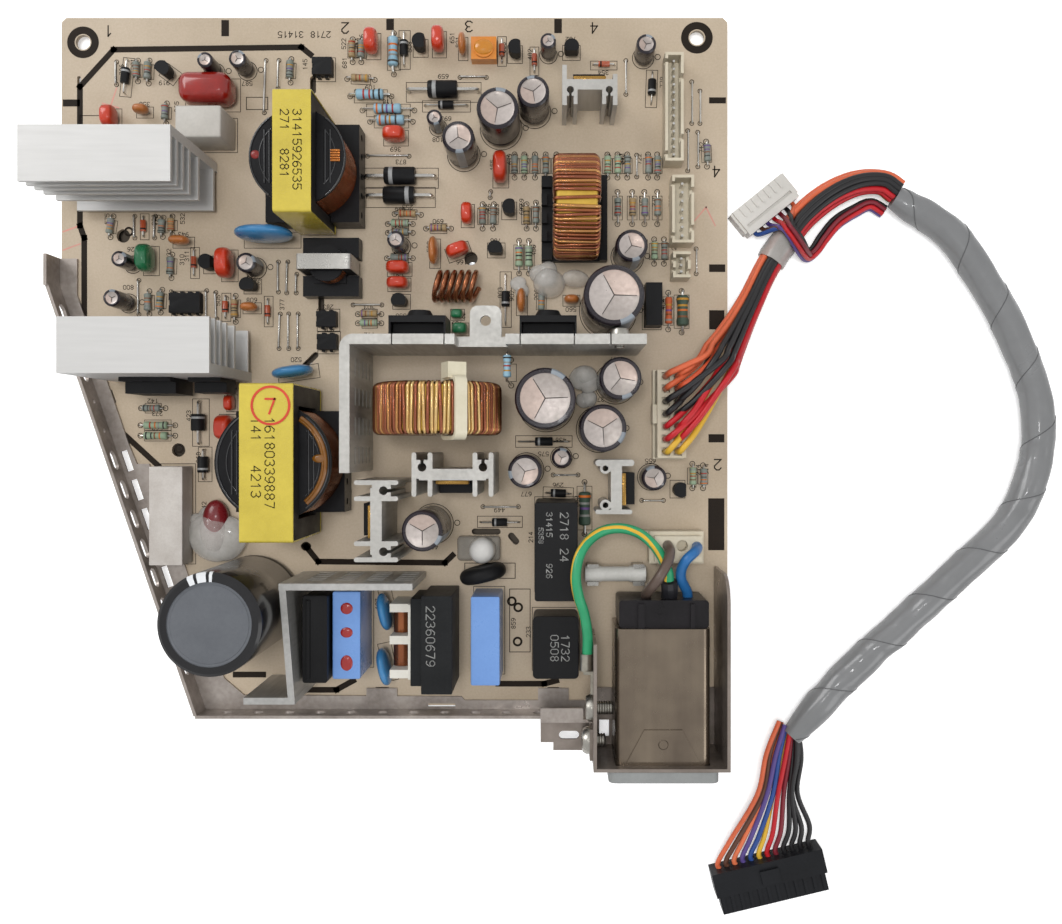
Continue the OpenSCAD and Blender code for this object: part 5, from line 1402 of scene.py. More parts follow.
DIGITS = {
    "0": [[(0, 0.3), (0, 1.3), (0.3, 1.6), (0.7, 1.6), (1, 1.3), (1, 0.3), (0.7, 0), (0.3, 0), (0, 0.3)]],
    "1": [[(0.2, 1.2), (0.55, 1.6), (0.55, 0)]],
    "2": [[(0, 1.3), (0.3, 1.6), (0.7, 1.6), (1, 1.3), (1, 1.0), (0, 0), (1, 0)]],
    "3": [[(0, 1.4), (0.3, 1.6), (0.7, 1.6), (1, 1.3), (0.7, 0.85), (0.4, 0.85)],
          [(0.7, 0.85), (1, 0.5), (1, 0.3), (0.7, 0), (0.3, 0), (0, 0.2)]],
    "4": [[(0.75, 0), (0.75, 1.6), (0, 0.5), (1, 0.5)]],
    "5": [[(1, 1.6), (0.1, 1.6), (0, 0.9), (0.6, 1.0), (1, 0.7), (1, 0.3), (0.7, 0), (0.3, 0), (0, 0.2)]],
    "6": [[(0.9, 1.5), (0.5, 1.6), (0, 1.0), (0, 0.3), (0.3, 0), (0.7, 0), (1, 0.3), (1, 0.6), (0.7, 0.9),
           (0.3, 0.9), (0, 0.6)]],
    "7": [[(0, 1.6), (1, 1.6), (0.4, 0)]],
    "8": [[(0.3, 0.85), (0, 1.2), (0.3, 1.6), (0.7, 1.6), (1, 1.2), (0.7, 0.85), (0.3, 0.85), (0, 0.45),
           (0.3, 0), (0.7, 0), (1, 0.45), (0.7, 0.85)]],
    "9": [[(0.1, 0.1), (0.5, 0), (1, 0.6), (1, 1.3), (0.7, 1.6), (0.3, 1.6), (0, 1.3), (0, 1.0), (0.3, 0.7),
           (0.7, 0.7), (1, 1.0)]],
}
PRINT_BANDS = [
    [(7.4, 124), (7.4, 150), (6, 154), (6, 199.5), (17, 211.6), (78.5, 212.4), (81.5, 210)],
    [(19, 87), (31.5, 75.5)],
    [(80, 49), (84, 44), (125.5, 43.6), (128, 46)],
    [(76, 2), (90, 2), (95.5, 5)],
    [(143, 4), (158, 4), (162, 5)],
    [(57, 7), (66, 7)],
    [(47.5, 196), (47.5, 204)],
]
PRINT_BLOCKS = [
    (52.3, 216, 54.8, 221.3), (106.3, 218, 108.8, 221.7), (161.3, 217, 163.8, 221.7), (0.4, 193, 6, 195.3),
    (212, 194, 217.5, 196), (212, 138.8, 217.3, 141.3), (212, 120, 217, 126.3), (211.8, 83, 217, 85.7),
    (211.7, 47.7, 217, 64.7),
]
PRINT_BOXES = [(132, 38.5, 148.5, 43.5), (146.7, 14.4, 153.4, 35), (6, 176, 14, 190), (60.5, 192, 67.5, 196)]
ZONE_MARKS = [
    ("1", 15, 218), ("2", 92.5, 219), ("3", 133, 219.5), ("4", 174, 219), ("4", 214, 172), ("2", 214.5, 76),
]
# How far the outline lies outside a part; the axial ones have their own outline
OUTLINE_MARGINS = {
    "axial_parts": None, "dipped_capacitors": 0.3, "disc_capacitors": 0.3, "film_capacitors": 0.6,
    "relays": 0.5, "line_capacitors": 0.6, "line_box": 0.6, "cement_resistor": 0.7,
}
# Left by whoever tested the board
PEN_TICKS = [
    [(0.6, 152), (6, 154)], [(0.6, 146), (6, 148)], [(15, 190), (18, 199)], [(13.4, 194), (18.6, 192.6)],
    [(205, 153), (211, 160), (214, 154)],
]


class Plan:
    """Draws thin printed marks just above the board."""

    def __init__(self, lift):
        self.bm = bmesh.new()
        self.lift = lift / MM

    def spot(self, point):
        return at(point[0], point[1], self.lift)

    def patch(self, points, index=0):
        face = self.bm.faces.new([self.bm.verts.new(self.spot(p)) for p in points])
        face.material_index = index
        face.normal_update()
        if face.normal.z < 0:
            face.normal_flip()

    def rectangle(self, middle, a, b, wide):
        """A printed rectangle whose sides lie at a and b from its middle."""
        self.line([middle + a * s + b * t for s, t in ((-1, -1), (1, -1), (1, 1), (-1, 1), (-1, -1))], wide)

    def line(self, points, wide=0.2, index=0):
        """A printed line of even width, with its corners squared."""
        for a, b in zip(points, points[1:]):
            a, b = Vector(a), Vector(b)
            along = b - a
            if along.length < 1e-6:
                continue
            along = along.normalized() * wide / 2
            side = Vector((-along.y, along.x))
            self.patch([a - along + side, a - along - side, b + along - side, b + along + side], index)

    def ring(self, x, y, inner, outer, index=0, steps=28):
        for k in range(steps):
            a, b = 2 * math.pi * k / steps, 2 * math.pi * (k + 1) / steps
            self.patch([
                (x + reach * math.cos(turn), y + reach * math.sin(turn))
                for reach, turn in ((inner, a), (outer, a), (outer, b), (inner, b))], index)

    def number(self, text, x, y, tall, turn=180, wide=0.2, index=0):
        """Digits in plain strokes, from their lower left corner on."""
        scale = tall / 1.6
        cos, sin = math.cos(math.radians(turn)), math.sin(math.radians(turn))
        for k, digit in enumerate(text):
            for stroke in DIGITS[digit]:
                points = []
                for u, v in stroke:
                    u, v = (u + 1.45 * k) * scale, v * scale
                    points.append((x + u * cos - v * sin, y + u * sin + v * cos))
                self.line(points, wide, index)

    def frame(self, lump, margin, wide=0.2):
        """A rectangle round a part, turned with it."""
        along = lump.along.to_2d() * (lump.length / 2 / MM + margin)
        across = lump.across.to_2d() * (lump.width / 2 / MM + margin)
        self.rectangle(lump.board().to_2d(), along, across, wide)


# Plain numbers on parts: piece, slot, height above the board, and each number's digits, place and height
TAPE_NUMBERS = [
    ("tape_numbers_small", "transformer_tapes", 36.1, [
        ("31415926535", 85.0, 180.2, 2.4), ("271", 81.3, 180.2, 2.4), ("8281", 81.3, 168.6, 2.4)]),
    ("tape_numbers_large", "transformer_tapes", 38.1, [
        ("16180339887", 77.4, 90.0, 2.7), ("141", 73.4, 90.0, 2.7), ("4213", 73.4, 76.0, 2.7)]),
]
FILTER_NUMBERS = [
    ("relay_numbers", "relays", 25.05, [
        ("2718", 163.2, 61.6, 2.4), ("24", 163.2, 50.6, 2.4), ("31415", 159.0, 61.6, 1.7),
        ("926", 159.0, 46.0, 1.7), ("5358", 156.6, 57.0, 1.4)]),
    ("fuse_box_numbers", "relays", 15.05, [("1732", 163.6, 22.6, 2.4), ("0508", 160.2, 22.6, 2.4)]),
    ("choke_numbers", "line_choke_core", 24.05, [("22360679", 122.4, 33.0, 2.6)]),
]


def stamp(name, lift, numbers, ink):
    """Plain numbers printed on top of a part, one line under the other, down the board."""
    plan = Plan(lift * MM)
    for text, x, y, tall in numbers:
        plan.number(text, x, y, tall, turn=-90, wide=0.26)
    return piece(name, plan.bm, [ink])


def blob(bm, middle, size, index=0, ways=()):
    """A drop of glue, lacquer or epoxy; ways are the waves that make it uneven."""
    made = bmesh.ops.create_icosphere(bm, subdivisions=4, radius=1.0)
    for vert in made["verts"]:
        way = vert.co.copy()
        swell = min(1.0, 0.9 + 0.1 * sum(math.sin(way.dot(w) + p) for w, p in ways) / 3.5) if ways else 1.0
        vert.co = middle + Vector([way[k] * size[k] * swell for k in range(3)])
    for face in {face for vert in made["verts"] for face in vert.link_faces}:
        face.material_index = index


class SUPPLY_OT_board(bpy.types.Operator):
    """Finishes the board and prints its plan: bands, part outlines, pads and plain numbers"""
    bl_idname = "supply.board"
    bl_label = "Board"

    def execute(self, context):
        settings = context.scene.supply_board
        dress("circuit_board", finish(
            "laminate", settings.laminate, settings.laminate_dark, roughness=0.42, spread=0.14, bump=0.12,
            depth=0.05, Patch_Scale=26.0, Speckle_Scale=1500.0, Speckle=0.34))
        dress("solder_joints", finish(
            "solder", "b9bbbc", "9b9d9f", roughness=0.3, spread=0.2, metallic=1.0, bump=0.3, depth=0.1,
            Patch_Scale=500.0))
        self.printed(settings)
        return {"FINISHED"}

    def printed(self, settings):
        plan = Plan(settings.ink_lift)
        rng = random.Random(9)
        for band in PRINT_BANDS:
            plan.line(band, 1.9)
        for x0, y0, x1, y1 in PRINT_BLOCKS:
            plan.patch([(x0, y0), (x1, y0), (x1, y1), (x0, y1)])
        for x0, y0, x1, y1 in PRINT_BOXES:
            plan.line([(x0, y0), (x1, y0), (x1, y1), (x0, y1), (x0, y0)], 0.25)
        for x, y in ((7, 214), (208, 215.5)):
            plan.ring(x, y, 2.75, 5.2, steps=40)
        for x, y in ((149.5, 29), (149.3, 17.8), (147.4, 31), (22, 152), (38.5, 81)):
            plan.ring(x, y, 0.9, 1.6)
        plan.ring(80, 49, 0, 1.5)
        for text, x, y in ZONE_MARKS:
            plan.number(text, x + 1.4, y + 1.4, 3.4, wide=0.42)
        for text, x in (("2718", 88), ("31415", 79)):
            plan.number(text, x, 217.5, 1.9, wide=0.26)
        self.outlines(plan, rng)
        for stroke in PEN_TICKS:
            plan.line(stroke, 0.5, 1)
        piece("board_print", plan.bm, [
            finish("ink", settings.ink, "29221c", roughness=0.6, bump=0.05, specular=0.15,
                   Speckle_Scale=3000.0, Speckle=0.6),
            finish("pen_red", "cf8b80", "c49a8c", roughness=0.5, bump=0.05)])

    def outlines(self, plan, rng):
        """Outlines round the parts, with a plain number beside each."""
        for node, margin in OUTLINE_MARGINS.items():
            for lump in lumps_of(node):
                if node == "axial_parts":
                    self.axial(plan, lump)
                elif lump.length > 1.5 * MM:
                    plan.frame(lump, margin)
                self.label(plan, lump, rng)
        for lump in lumps_of("capacitor_sleeves"):
            spot, reach = lump.board(), lump.width / 2 / MM
            plan.ring(spot.x, spot.y, reach + 0.25, reach + 0.5, steps=40)
            plan.ring(spot.x + reach + 1.6, spot.y + 0.4, 0.75, 1.0, steps=14)
            self.label(plan, lump, rng)
        for lump in lumps_of("small_semiconductors"):
            if lump.length > 2.5 * MM:
                plan.frame(lump, 0.5)
                self.label(plan, lump, rng)
        for lump in lumps_of("wire_links"):
            middle, along, half = lump.board().to_2d(), lump.along.to_2d(), lump.length / 2 / MM
            for side in (-1, 1):
                end = middle + along * side * (half - 0.3)
                plan.ring(end.x, end.y, 0.55, 0.8, steps=12)
            plan.line([middle - along * (half - 1.2), middle + along * (half - 1.2)], 0.18)

    def axial(self, plan, lump):
        """The outline of a part on two leads, with its holes and a line to each."""
        middle = lump.board().to_2d()
        along, across = lump.along.to_2d(), lump.across.to_2d()
        half = lump.length / 2 / MM - 1.7
        wide = lump.width / 2 / MM + 0.45
        plan.rectangle(middle, along * half, across * wide, 0.18)
        for side in (-1, 1):
            end = middle + along * side * (lump.length / 2 / MM - 0.35)
            plan.ring(end.x, end.y, 0.7, 0.95, steps=14)
            plan.line([middle + along * side * half, end - along * side * 0.9], 0.18)

    def label(self, plan, lump, rng):
        """A three digit number beside a part, along it or across it."""
        spot = lump.board()
        text = str(rng.randrange(101, 989))
        turn = 90 if abs(lump.along.y) > 0.7 else 180
        off = lump.width / 2 / MM + (2.6 if rng.random() < 0.5 else 1.3)
        across = lump.across if rng.random() < 0.6 else -lump.across
        x, y = spot.x + across.x * off + 1.5, spot.y + across.y * off + 0.6
        if 4 < x < 214 and 4 < y < 218 and x > 4 + max(0.0, (134 - y) * 0.36):
            plan.number(text, x, y, 1.35, turn=turn, wide=0.2)


# ---- Steel, heatsinks and screws ----


# The inlet's flange lies in front of this place
FLANGE_Y = -0.1185
# A screw beyond this place points along the board's length, and this much of its end is left out
LONG_SCREW_X = 0.07
LONG_SCREW_CUT = 6.2 * MM
THREAD_PITCH = 0.7 * MM


class SUPPLY_OT_metalwork(bpy.types.Operator):
    """Finishes the rail, bracket, inlet can, shields and heatsinks, and builds the screws"""
    bl_idname = "supply.metalwork"
    bl_label = "Metalwork"

    def execute(self, context):
        settings = context.scene.supply_metal
        steel = dict(metallic=0.65, bump=0.25, depth=0.04, effect="grain")
        dress("side_rail", finish(
            "rail_steel", settings.rail, "847b74", roughness=0.38, spread=0.22, Scale=600.0, Smudge=0.7,
            **steel))
        for node in ("inlet_bracket", "fixing_ear"):
            dress(node, finish(
                "bracket_steel", settings.bracket, "766c64", roughness=0.36, spread=0.24, Scale=500.0,
                Smudge=0.75, **steel))
        self.screws()
        dress("earth_lug", finish(
            "lug_tin", "b3aea2", "8f8b80", roughness=0.35, spread=0.2, metallic=0.95, bump=0.3,
            Patch_Scale=260.0))
        dress("inlet_blades", finish(
            "blade_nickel", "c4c1b8", "a9a69e", roughness=0.25, spread=0.15, metallic=1.0, bump=0.1))
        softened(
            "inlet_socket", 0.2,
            black_plastic("socket_black", "131314", "1b1b1c", roughness=0.4, spread=0.15, bump=0.2),
            finish("socket_grey", "8f9190", "7f8180", roughness=0.45, spread=0.15, bump=0.2),
            chooser=lambda face: int(face.calc_center_median().y < FLANGE_Y))
        dress("inlet_rear_cover", finish(
            "cover_black", "171617", "222022", roughness=0.32, spread=0.18, bump=0.3, specular=0.165))
        dress("inlet_can", finish(
            "can_nickel", "8c7f6f", "6b6055", roughness=0.26, spread=0.2, metallic=0.92, bump=0.2,
            effect="grain", Stretch=(1.0, 0.12, 1.0), Scale=420.0, Smudge=0.8))
        dress("fin_heatsinks", finish(
            "fin_aluminium", settings.fins, "c3c2c0", roughness=0.45, spread=0.14, metallic=0.3, bump=0.3,
            depth=0.03, effect="grain", Stretch=(0.06, 1.0, 1.0), Scale=900.0, Smudge=0.3))
        for node in ("angle_heatsink", "profile_heatsinks", "small_heatsinks"):
            dress(node, finish(
                "plate_aluminium", settings.plate, "aaa8a3", roughness=0.4, spread=0.2, metallic=0.45,
                bump=0.3, depth=0.03, effect="grain", Stretch=(1.0, 1.0, 0.08), Scale=800.0, Smudge=0.45))
        dress("perforated_shield", finish(
            "shield_aluminium", "bdbcb9", "a2a19e", roughness=0.38, spread=0.2, metallic=0.55, bump=0.3,
            effect="grain", Stretch=(1.0, 1.0, 0.1), Scale=700.0, Smudge=0.5))
        dress("fuse_clips", finish(
            "spring_steel", "b4b2ad", "94928d", roughness=0.3, spread=0.2, metallic=0.95, bump=0.2))
        dress("device_clamps", black_plastic("clamp_black", "161617", "202021", roughness=0.45, bump=0.3))
        return {"FINISHED"}

    def screws(self):
        """Pan heads with a round recess on threaded shanks."""
        bm = bmesh.new()
        for lump in lumps_of("metal_screws"):
            across = lump.middle.x > LONG_SCREW_X
            axis = Vector((0, 1, 0)) if across else Vector((-1, 0, 0))
            ends = sorted((corner - lump.middle).dot(axis) for corner in lump.corners)
            start, head = ends[0], ends[-1]
            if across:
                start += LONG_SCREW_CUT
            reach = max((c - lump.middle - axis * (c - lump.middle).dot(axis)).length for c in lump.corners)
            shank, rise = reach * 0.52, min(2.6 * MM, (head - start) * 0.4)
            neck = head - rise
            profile = [(shank * 0.7, start, 0)]
            turns = max(3, int((neck - start) / THREAD_PITCH))
            for k in range(turns):
                for part, size in ((0.15, 0.86), (0.5, 1.0), (0.85, 0.86)):
                    profile.append((shank * size, start + (neck - start) * (k + part) / turns, 0))
            profile += [(shank, neck, 0), (reach, neck, 0), (reach, neck + rise * 0.45, 0),
                        (reach * 0.86, neck + rise * 0.85, 0), (reach * 0.5, head, 0),
                        (reach * 0.46, head - rise * 0.5, 1), (0.0, head - rise * 0.5, 1)]
            turn = axis.to_track_quat("Z", "Y").to_matrix().to_4x4()
            revolve(bm, profile, Matrix.Translation(lump.middle) @ turn, 28)
        piece("screw_set", bm, [
            finish("screw_zinc", "b9b6ae", "98958e", roughness=0.3, spread=0.2, metallic=0.95, bump=0.3,
                   Patch_Scale=300.0),
            finish("screw_recess", "4a4845", "3a3836", roughness=0.5, metallic=0.8)],
            replaces=["metal_screws"], sharp=30)


# ---- Wound parts on bobbins ----


# Middle, reach and top of each bobbin's flange, the place of its ribs and half their length
FLANGES = [(84.5, 168.4, 14.6, 29.0, 8.3, 8.0), (77.7, 76.9, 17.0, 30.8, 10.6, 9.5)]


class SUPPLY_OT_transformers(bpy.types.Operator):
    """Builds the transformers' ferrites, layered tapes, bobbins and their wound wire"""
    bl_idname = "supply.transformers"
    bl_label = "Transformers"

    def execute(self, context):
        settings = context.scene.supply_wound
        softened("transformer_cores", 0.35, black_plastic(
            "ferrite", "2b2a29", "222120", roughness=0.5, spread=0.18, bump=0.35, Patch_Scale=120.0,
            Speckle_Scale=2600.0))
        dress("transformer_bobbins", black_plastic(
            "bobbin_black", "131314", "1d1d1f", roughness=0.34, spread=0.16, bump=0.25))
        self.tapes(settings)
        self.windings(settings)
        self.rims()
        self.marks()
        return {"FINISHED"}

    def rims(self):
        """Raised rims and ribs on the flanges, glimpses of wire, and varnish that ran along an edge."""
        bm = bmesh.new()
        for x, y, reach, top, rib, half in FLANGES:
            def edge(first, last, out=reach - 0.4, z=top + 0.1):
                return [
                    at(x + out * math.cos(math.radians(a)), y + out * math.sin(math.radians(a)), z)
                    for a in range(first, last + 1, 6)]

            for side in (0, 180):
                sweep(bm, edge(side - 54, side + 54), 0.38 * MM)
                sweep(bm, edge(side - 46, side + 46, reach - 3.2), 0.28 * MM)
                cos = 1 if side == 0 else -1
                for step in (0.0, 1.5):
                    rib_x = x + cos * (rib + step)
                    sweep(bm, [at(rib_x, y + s * half, top + 0.1) for s in (-1, -0.3, 0.3, 1)], 0.4 * MM)
            if reach > 16:
                for out, wide in ((reach - 1.3, 0.75), (reach - 2.0, 0.55)):
                    sweep(bm, edge(-50, 58, out, top + 0.35), wide * MM, index=1)
                blob(bm, at(x + reach - 3.0, y + 1.2, top + 0.3), millimetres(2.3, 1.3, 0.9), 1)
            else:
                for k in range(5):
                    low = at(x + 10.0, y - 1.2 + 0.75 * k, top + 0.3)
                    sweep(bm, [low, low + Vector((1.4 * MM, 0, 0.12 * MM)), low + Vector((2.8 * MM, 0, 0))],
                          0.36 * MM, index=2)
                blob(bm, at(x - 12.6, y + 0.6, top + 0.1), millimetres(1.4, 1.3, 0.5), 3)
        piece("flange_rims", bm, [
            finish("rim_black", "1b1b1d", "252527", roughness=0.2, spread=0.1, bump=0.1, coat=0.4),
            finish("varnish", "8f5c1c", "6e430f", roughness=0.14, spread=0.1, coat=0.6, bump=0.3, alpha=0.9),
            finish("lead_copper", "d0843a", "a8602a", roughness=0.25, metallic=0.8, coat=0.4),
            finish("lacquer_red", "8a1f18", "701712", roughness=0.3, coat=0.2)],
            sharp=60)

    def marks(self):
        """Plain numbers on the tapes and a red inspection ring."""
        ink = finish("tape_ink", "2b2616", "1f1b10", roughness=0.55, bump=0.05, specular=0.2)
        for name, slot, lift, numbers in TAPE_NUMBERS:
            stamp(name, lift, numbers, ink)
        plan = Plan(38.2 * MM)
        plan.ring(79.0, 93.6, 5.1, 5.8, steps=40)
        plan.number("7", 77.6, 91.3, 4.2, 0, 0.6)
        piece("inspection_ring", plan.bm, [finish(
            "marker_red", "d24a34", "bf3f2b", roughness=0.5, bump=0.05)])

    def tapes(self, settings):
        bm = bmesh.new()
        rng = random.Random(14)
        tapes, cores = (
            sorted(lumps_of(node), key=lambda each: -each.length)
            for node in ("transformer_tapes", "transformer_cores"))
        for lump, core in zip(tapes, cores):
            index = 0 if lump.length > 25 * MM else 1
            lump.width = max(lump.width, core.width + 0.5 * MM) if index == 0 else lump.width
            for layer in range(3):
                inset = 0.11 * (2 - layer) * MM
                shift = rng.uniform(-0.22, 0.22) * MM
                self.band(bm, lump, inset, shift, index, 0.6 * MM - 0.15 * MM * layer)
        piece("tape_bands", bm, [
            finish("tape_yellow", settings.tape, "b8a53a", roughness=0.26, spread=0.16, coat=0.35, bump=0.3,
                   depth=0.06, Patch_Scale=90.0, Speckle_Scale=700.0),
            finish("tape_silver", "b5b3ae", "96948f", roughness=0.3, spread=0.2, metallic=0.6, bump=0.35,
                   depth=0.06)], replaces=["transformer_tapes"], sharp=40)

    def band(self, bm, lump, inset, shift, index, narrower):
        """One turn of tape round the core, with rounded corners."""
        half = lump.length / 2 - inset
        low, high = lump.bottom + inset, lump.top - inset
        outline = rounded_rectangle((-half, low), (half, high), 0.9 * MM)
        reach = lump.width / 2 - narrower / 2
        rows = []
        for side, thin in ((-reach, 0.3), (-reach, 0.0), (reach, 0.0), (reach, 0.3)):
            row = []
            for along, z in outline:
                scale = 1 - thin * MM / max(abs(along), abs(z - (low + high) / 2), 1e-4)
                spot = lump.middle.copy()
                spot += lump.along * along * scale + lump.across * (side + shift)
                spot.z = (low + high) / 2 + (z - (low + high) / 2) * scale
                row.append(bm.verts.new(spot))
            rows.append(row)
        skin(bm, rows, index, looped=True)

    def windings(self, settings):
        """Layers of round wire seen between the flanges."""
        bm = bmesh.new()
        for lump in lumps_of("transformer_windings"):
            low, high = lump.bottom / MM, lump.top / MM
            reach = lump.width / 2 / MM
            wire = 0.9 if reach > 8 else 0.45
            turns = max(3, int((high - low) / wire))
            step = (high - low) / turns
            inner = reach * 0.62
            profile = [(inner * MM, low * MM, 0)]
            for k in range(turns):
                for n in range(5):
                    turn = -math.pi / 2 + math.pi * (n + 0.5) / 5
                    profile.append((
                        (reach - step / 2 + step / 2 * math.cos(turn)) * MM,
                        (low + step * (k + 0.5 + 0.5 * math.sin(turn))) * MM, 0))
            profile.append((inner * MM, high * MM, 0))
            revolve(bm, profile, Matrix.Translation(lump.spot(0)), 48)
        piece("bobbin_wire", bm, [enamel_finish(settings)],
              replaces=["transformer_windings"], sharp=60)


class SUPPLY_OT_line_filter(bpy.types.Operator):
    """Finishes the mains filter: choke, line capacitors, fuse, thermistor and relays"""
    bl_idname = "supply.line_filter"
    bl_label = "Mains filter"

    def execute(self, context):
        settings = context.scene.supply_wound
        softened("line_choke_core", 0.3, black_plastic(
            "choke_ferrite", "232425", "1b1c1d", roughness=0.5, spread=0.16, bump=0.3))
        dress("line_choke_bobbin", finish(
            "bobbin_white", "dcd9d0", "cbc8be", roughness=0.45, spread=0.15, bump=0.2))
        dress("line_choke_winding", enamel_finish(settings))
        softened("line_capacitors", 0.5, finish(
            "film_blue", "7198d2", "648bc6", roughness=0.3, spread=0.14, coat=0.2, bump=0.15,
            Patch_Scale=60.0))
        softened("line_box", 0.4, black_plastic(
            "box_black", "121213", "1b1b1c", roughness=0.4, spread=0.15, bump=0.2))
        softened("relays", 0.35, black_plastic(
            "relay_black", "161617", "1d1d1e", roughness=0.42, spread=0.14, bump=0.15, Patch_Scale=50.0))
        softened("cement_resistor", 0.4, finish(
            "cement_white", "cbc6c0", "b3aca5", roughness=0.7, spread=0.15, bump=0.5, depth=0.1,
            Patch_Scale=140.0, Speckle_Scale=1800.0))
        dress("fuse", finish(
            "fuse_ceramic", "d9d7d2", "c2c0ba", roughness=0.35, spread=0.12, coat=0.2, bump=0.1))
        dress("thermistor", black_plastic("thermistor_black", "151516", "202021", roughness=0.5, bump=0.3))
        ink = finish("pale_ink", "9a9a98", "8a8a88", roughness=0.5, bump=0.05)
        for name, slot, lift, numbers in FILTER_NUMBERS:
            stamp(name, lift, numbers, ink)
        self.lamp_post()
        return {"FINISHED"}

    def lamp_post(self):
        """A white post in its low clear base, beside the large relay, and lacquer on a capacitor."""
        bm = bmesh.new()
        box_form(bm, Matrix.Translation(at(136.8, 48.6, 0)), millimetres(14, 8, 4),
                 millimetres(-7, -4, 0), 1.2 * MM, 1, segments=3)
        post = [(4.2, 3.4), (4.1, 8.6), (3.4, 10.2), (2.0, 11.1), (0.0, 11.4)]
        revolve(bm, [(r * MM, z * MM, 0) for r, z in post], Matrix.Translation(at(138.2, 48.4, 0)))
        piece("post", bm, [
            finish("post_white", "d6d4d0", "c8c6c2", roughness=0.35, coat=0.2, bump=0.1),
            finish("post_clear", "a59f95", "948e84", roughness=0.25, coat=0.3, bump=0.2, alpha=0.6)],
            sharp=50)
        bm = bmesh.new()
        for y, long in ((31.8, 1.8), (24.4, 1.6), (15.0, 2.4)):
            blob(bm, at(97.4, y, 20.0), millimetres(1.9, long, 0.5))
        piece("capacitor_lacquer", bm, [finish("lacquer_dark", "a3201c", "861814", roughness=0.2, coat=0.5)],
              sharp=60)


TAB_LIMIT = 12 * MM


class SUPPLY_OT_semiconductors(bpy.types.Operator):
    """Finishes the transistors and power devices, with tinned legs under moulded bodies"""
    bl_idname = "supply.semiconductors"
    bl_label = "Semiconductors"

    def execute(self, context):
        mould = black_plastic(
            "mould_black", "161617", "1f1f20", roughness=0.5, spread=0.16, bump=0.3, Patch_Scale=150.0,
            Speckle_Scale=2600.0)
        legs = tinned_finish(context)
        board_top = BOARD_ORIGIN.z

        def leg(face):
            return 1 if face.calc_center_median().z < board_top + 1.0 * MM else 0

        softened("small_semiconductors", 0.14, mould, legs, chooser=leg, without=is_diode)
        softened("power_devices", 0.18, mould, legs, chooser=leg)
        self.tabs()
        return {"FINISHED"}

    def tabs(self):
        """The metal tabs that stand above the smaller devices, on the heatsink's side."""
        bm = bmesh.new()
        sinks = lumps_of("profile_heatsinks") + lumps_of("small_heatsinks")
        for lump in lumps_of("power_devices"):
            sink = min(sinks, key=lambda each: (each.middle - lump.middle).to_2d().length)
            # Only the short devices that stand against a heatsink show their tab
            if max(lump.length, (sink.middle - lump.middle).to_2d().length) > TAB_LIMIT:
                continue
            side = 1 if (sink.middle - lump.middle).dot(lump.across) > 0 else -1
            tall = min(4.5 * MM, sink.top - lump.top - 0.3 * MM)
            thick = 1.3 * MM
            low = lump.width / 2 - thick if side > 0 else -lump.width / 2
            box_form(bm, lump.place(lump.top), (lump.length, thick, tall), (-lump.length / 2, low, -0.4 * MM),
                     0.2 * MM)
        piece("device_tabs", bm, [finish(
            "tab_brass", "b9924e", "8f6c36", roughness=0.28, spread=0.2, metallic=0.9, bump=0.2)],
            sharp=40)


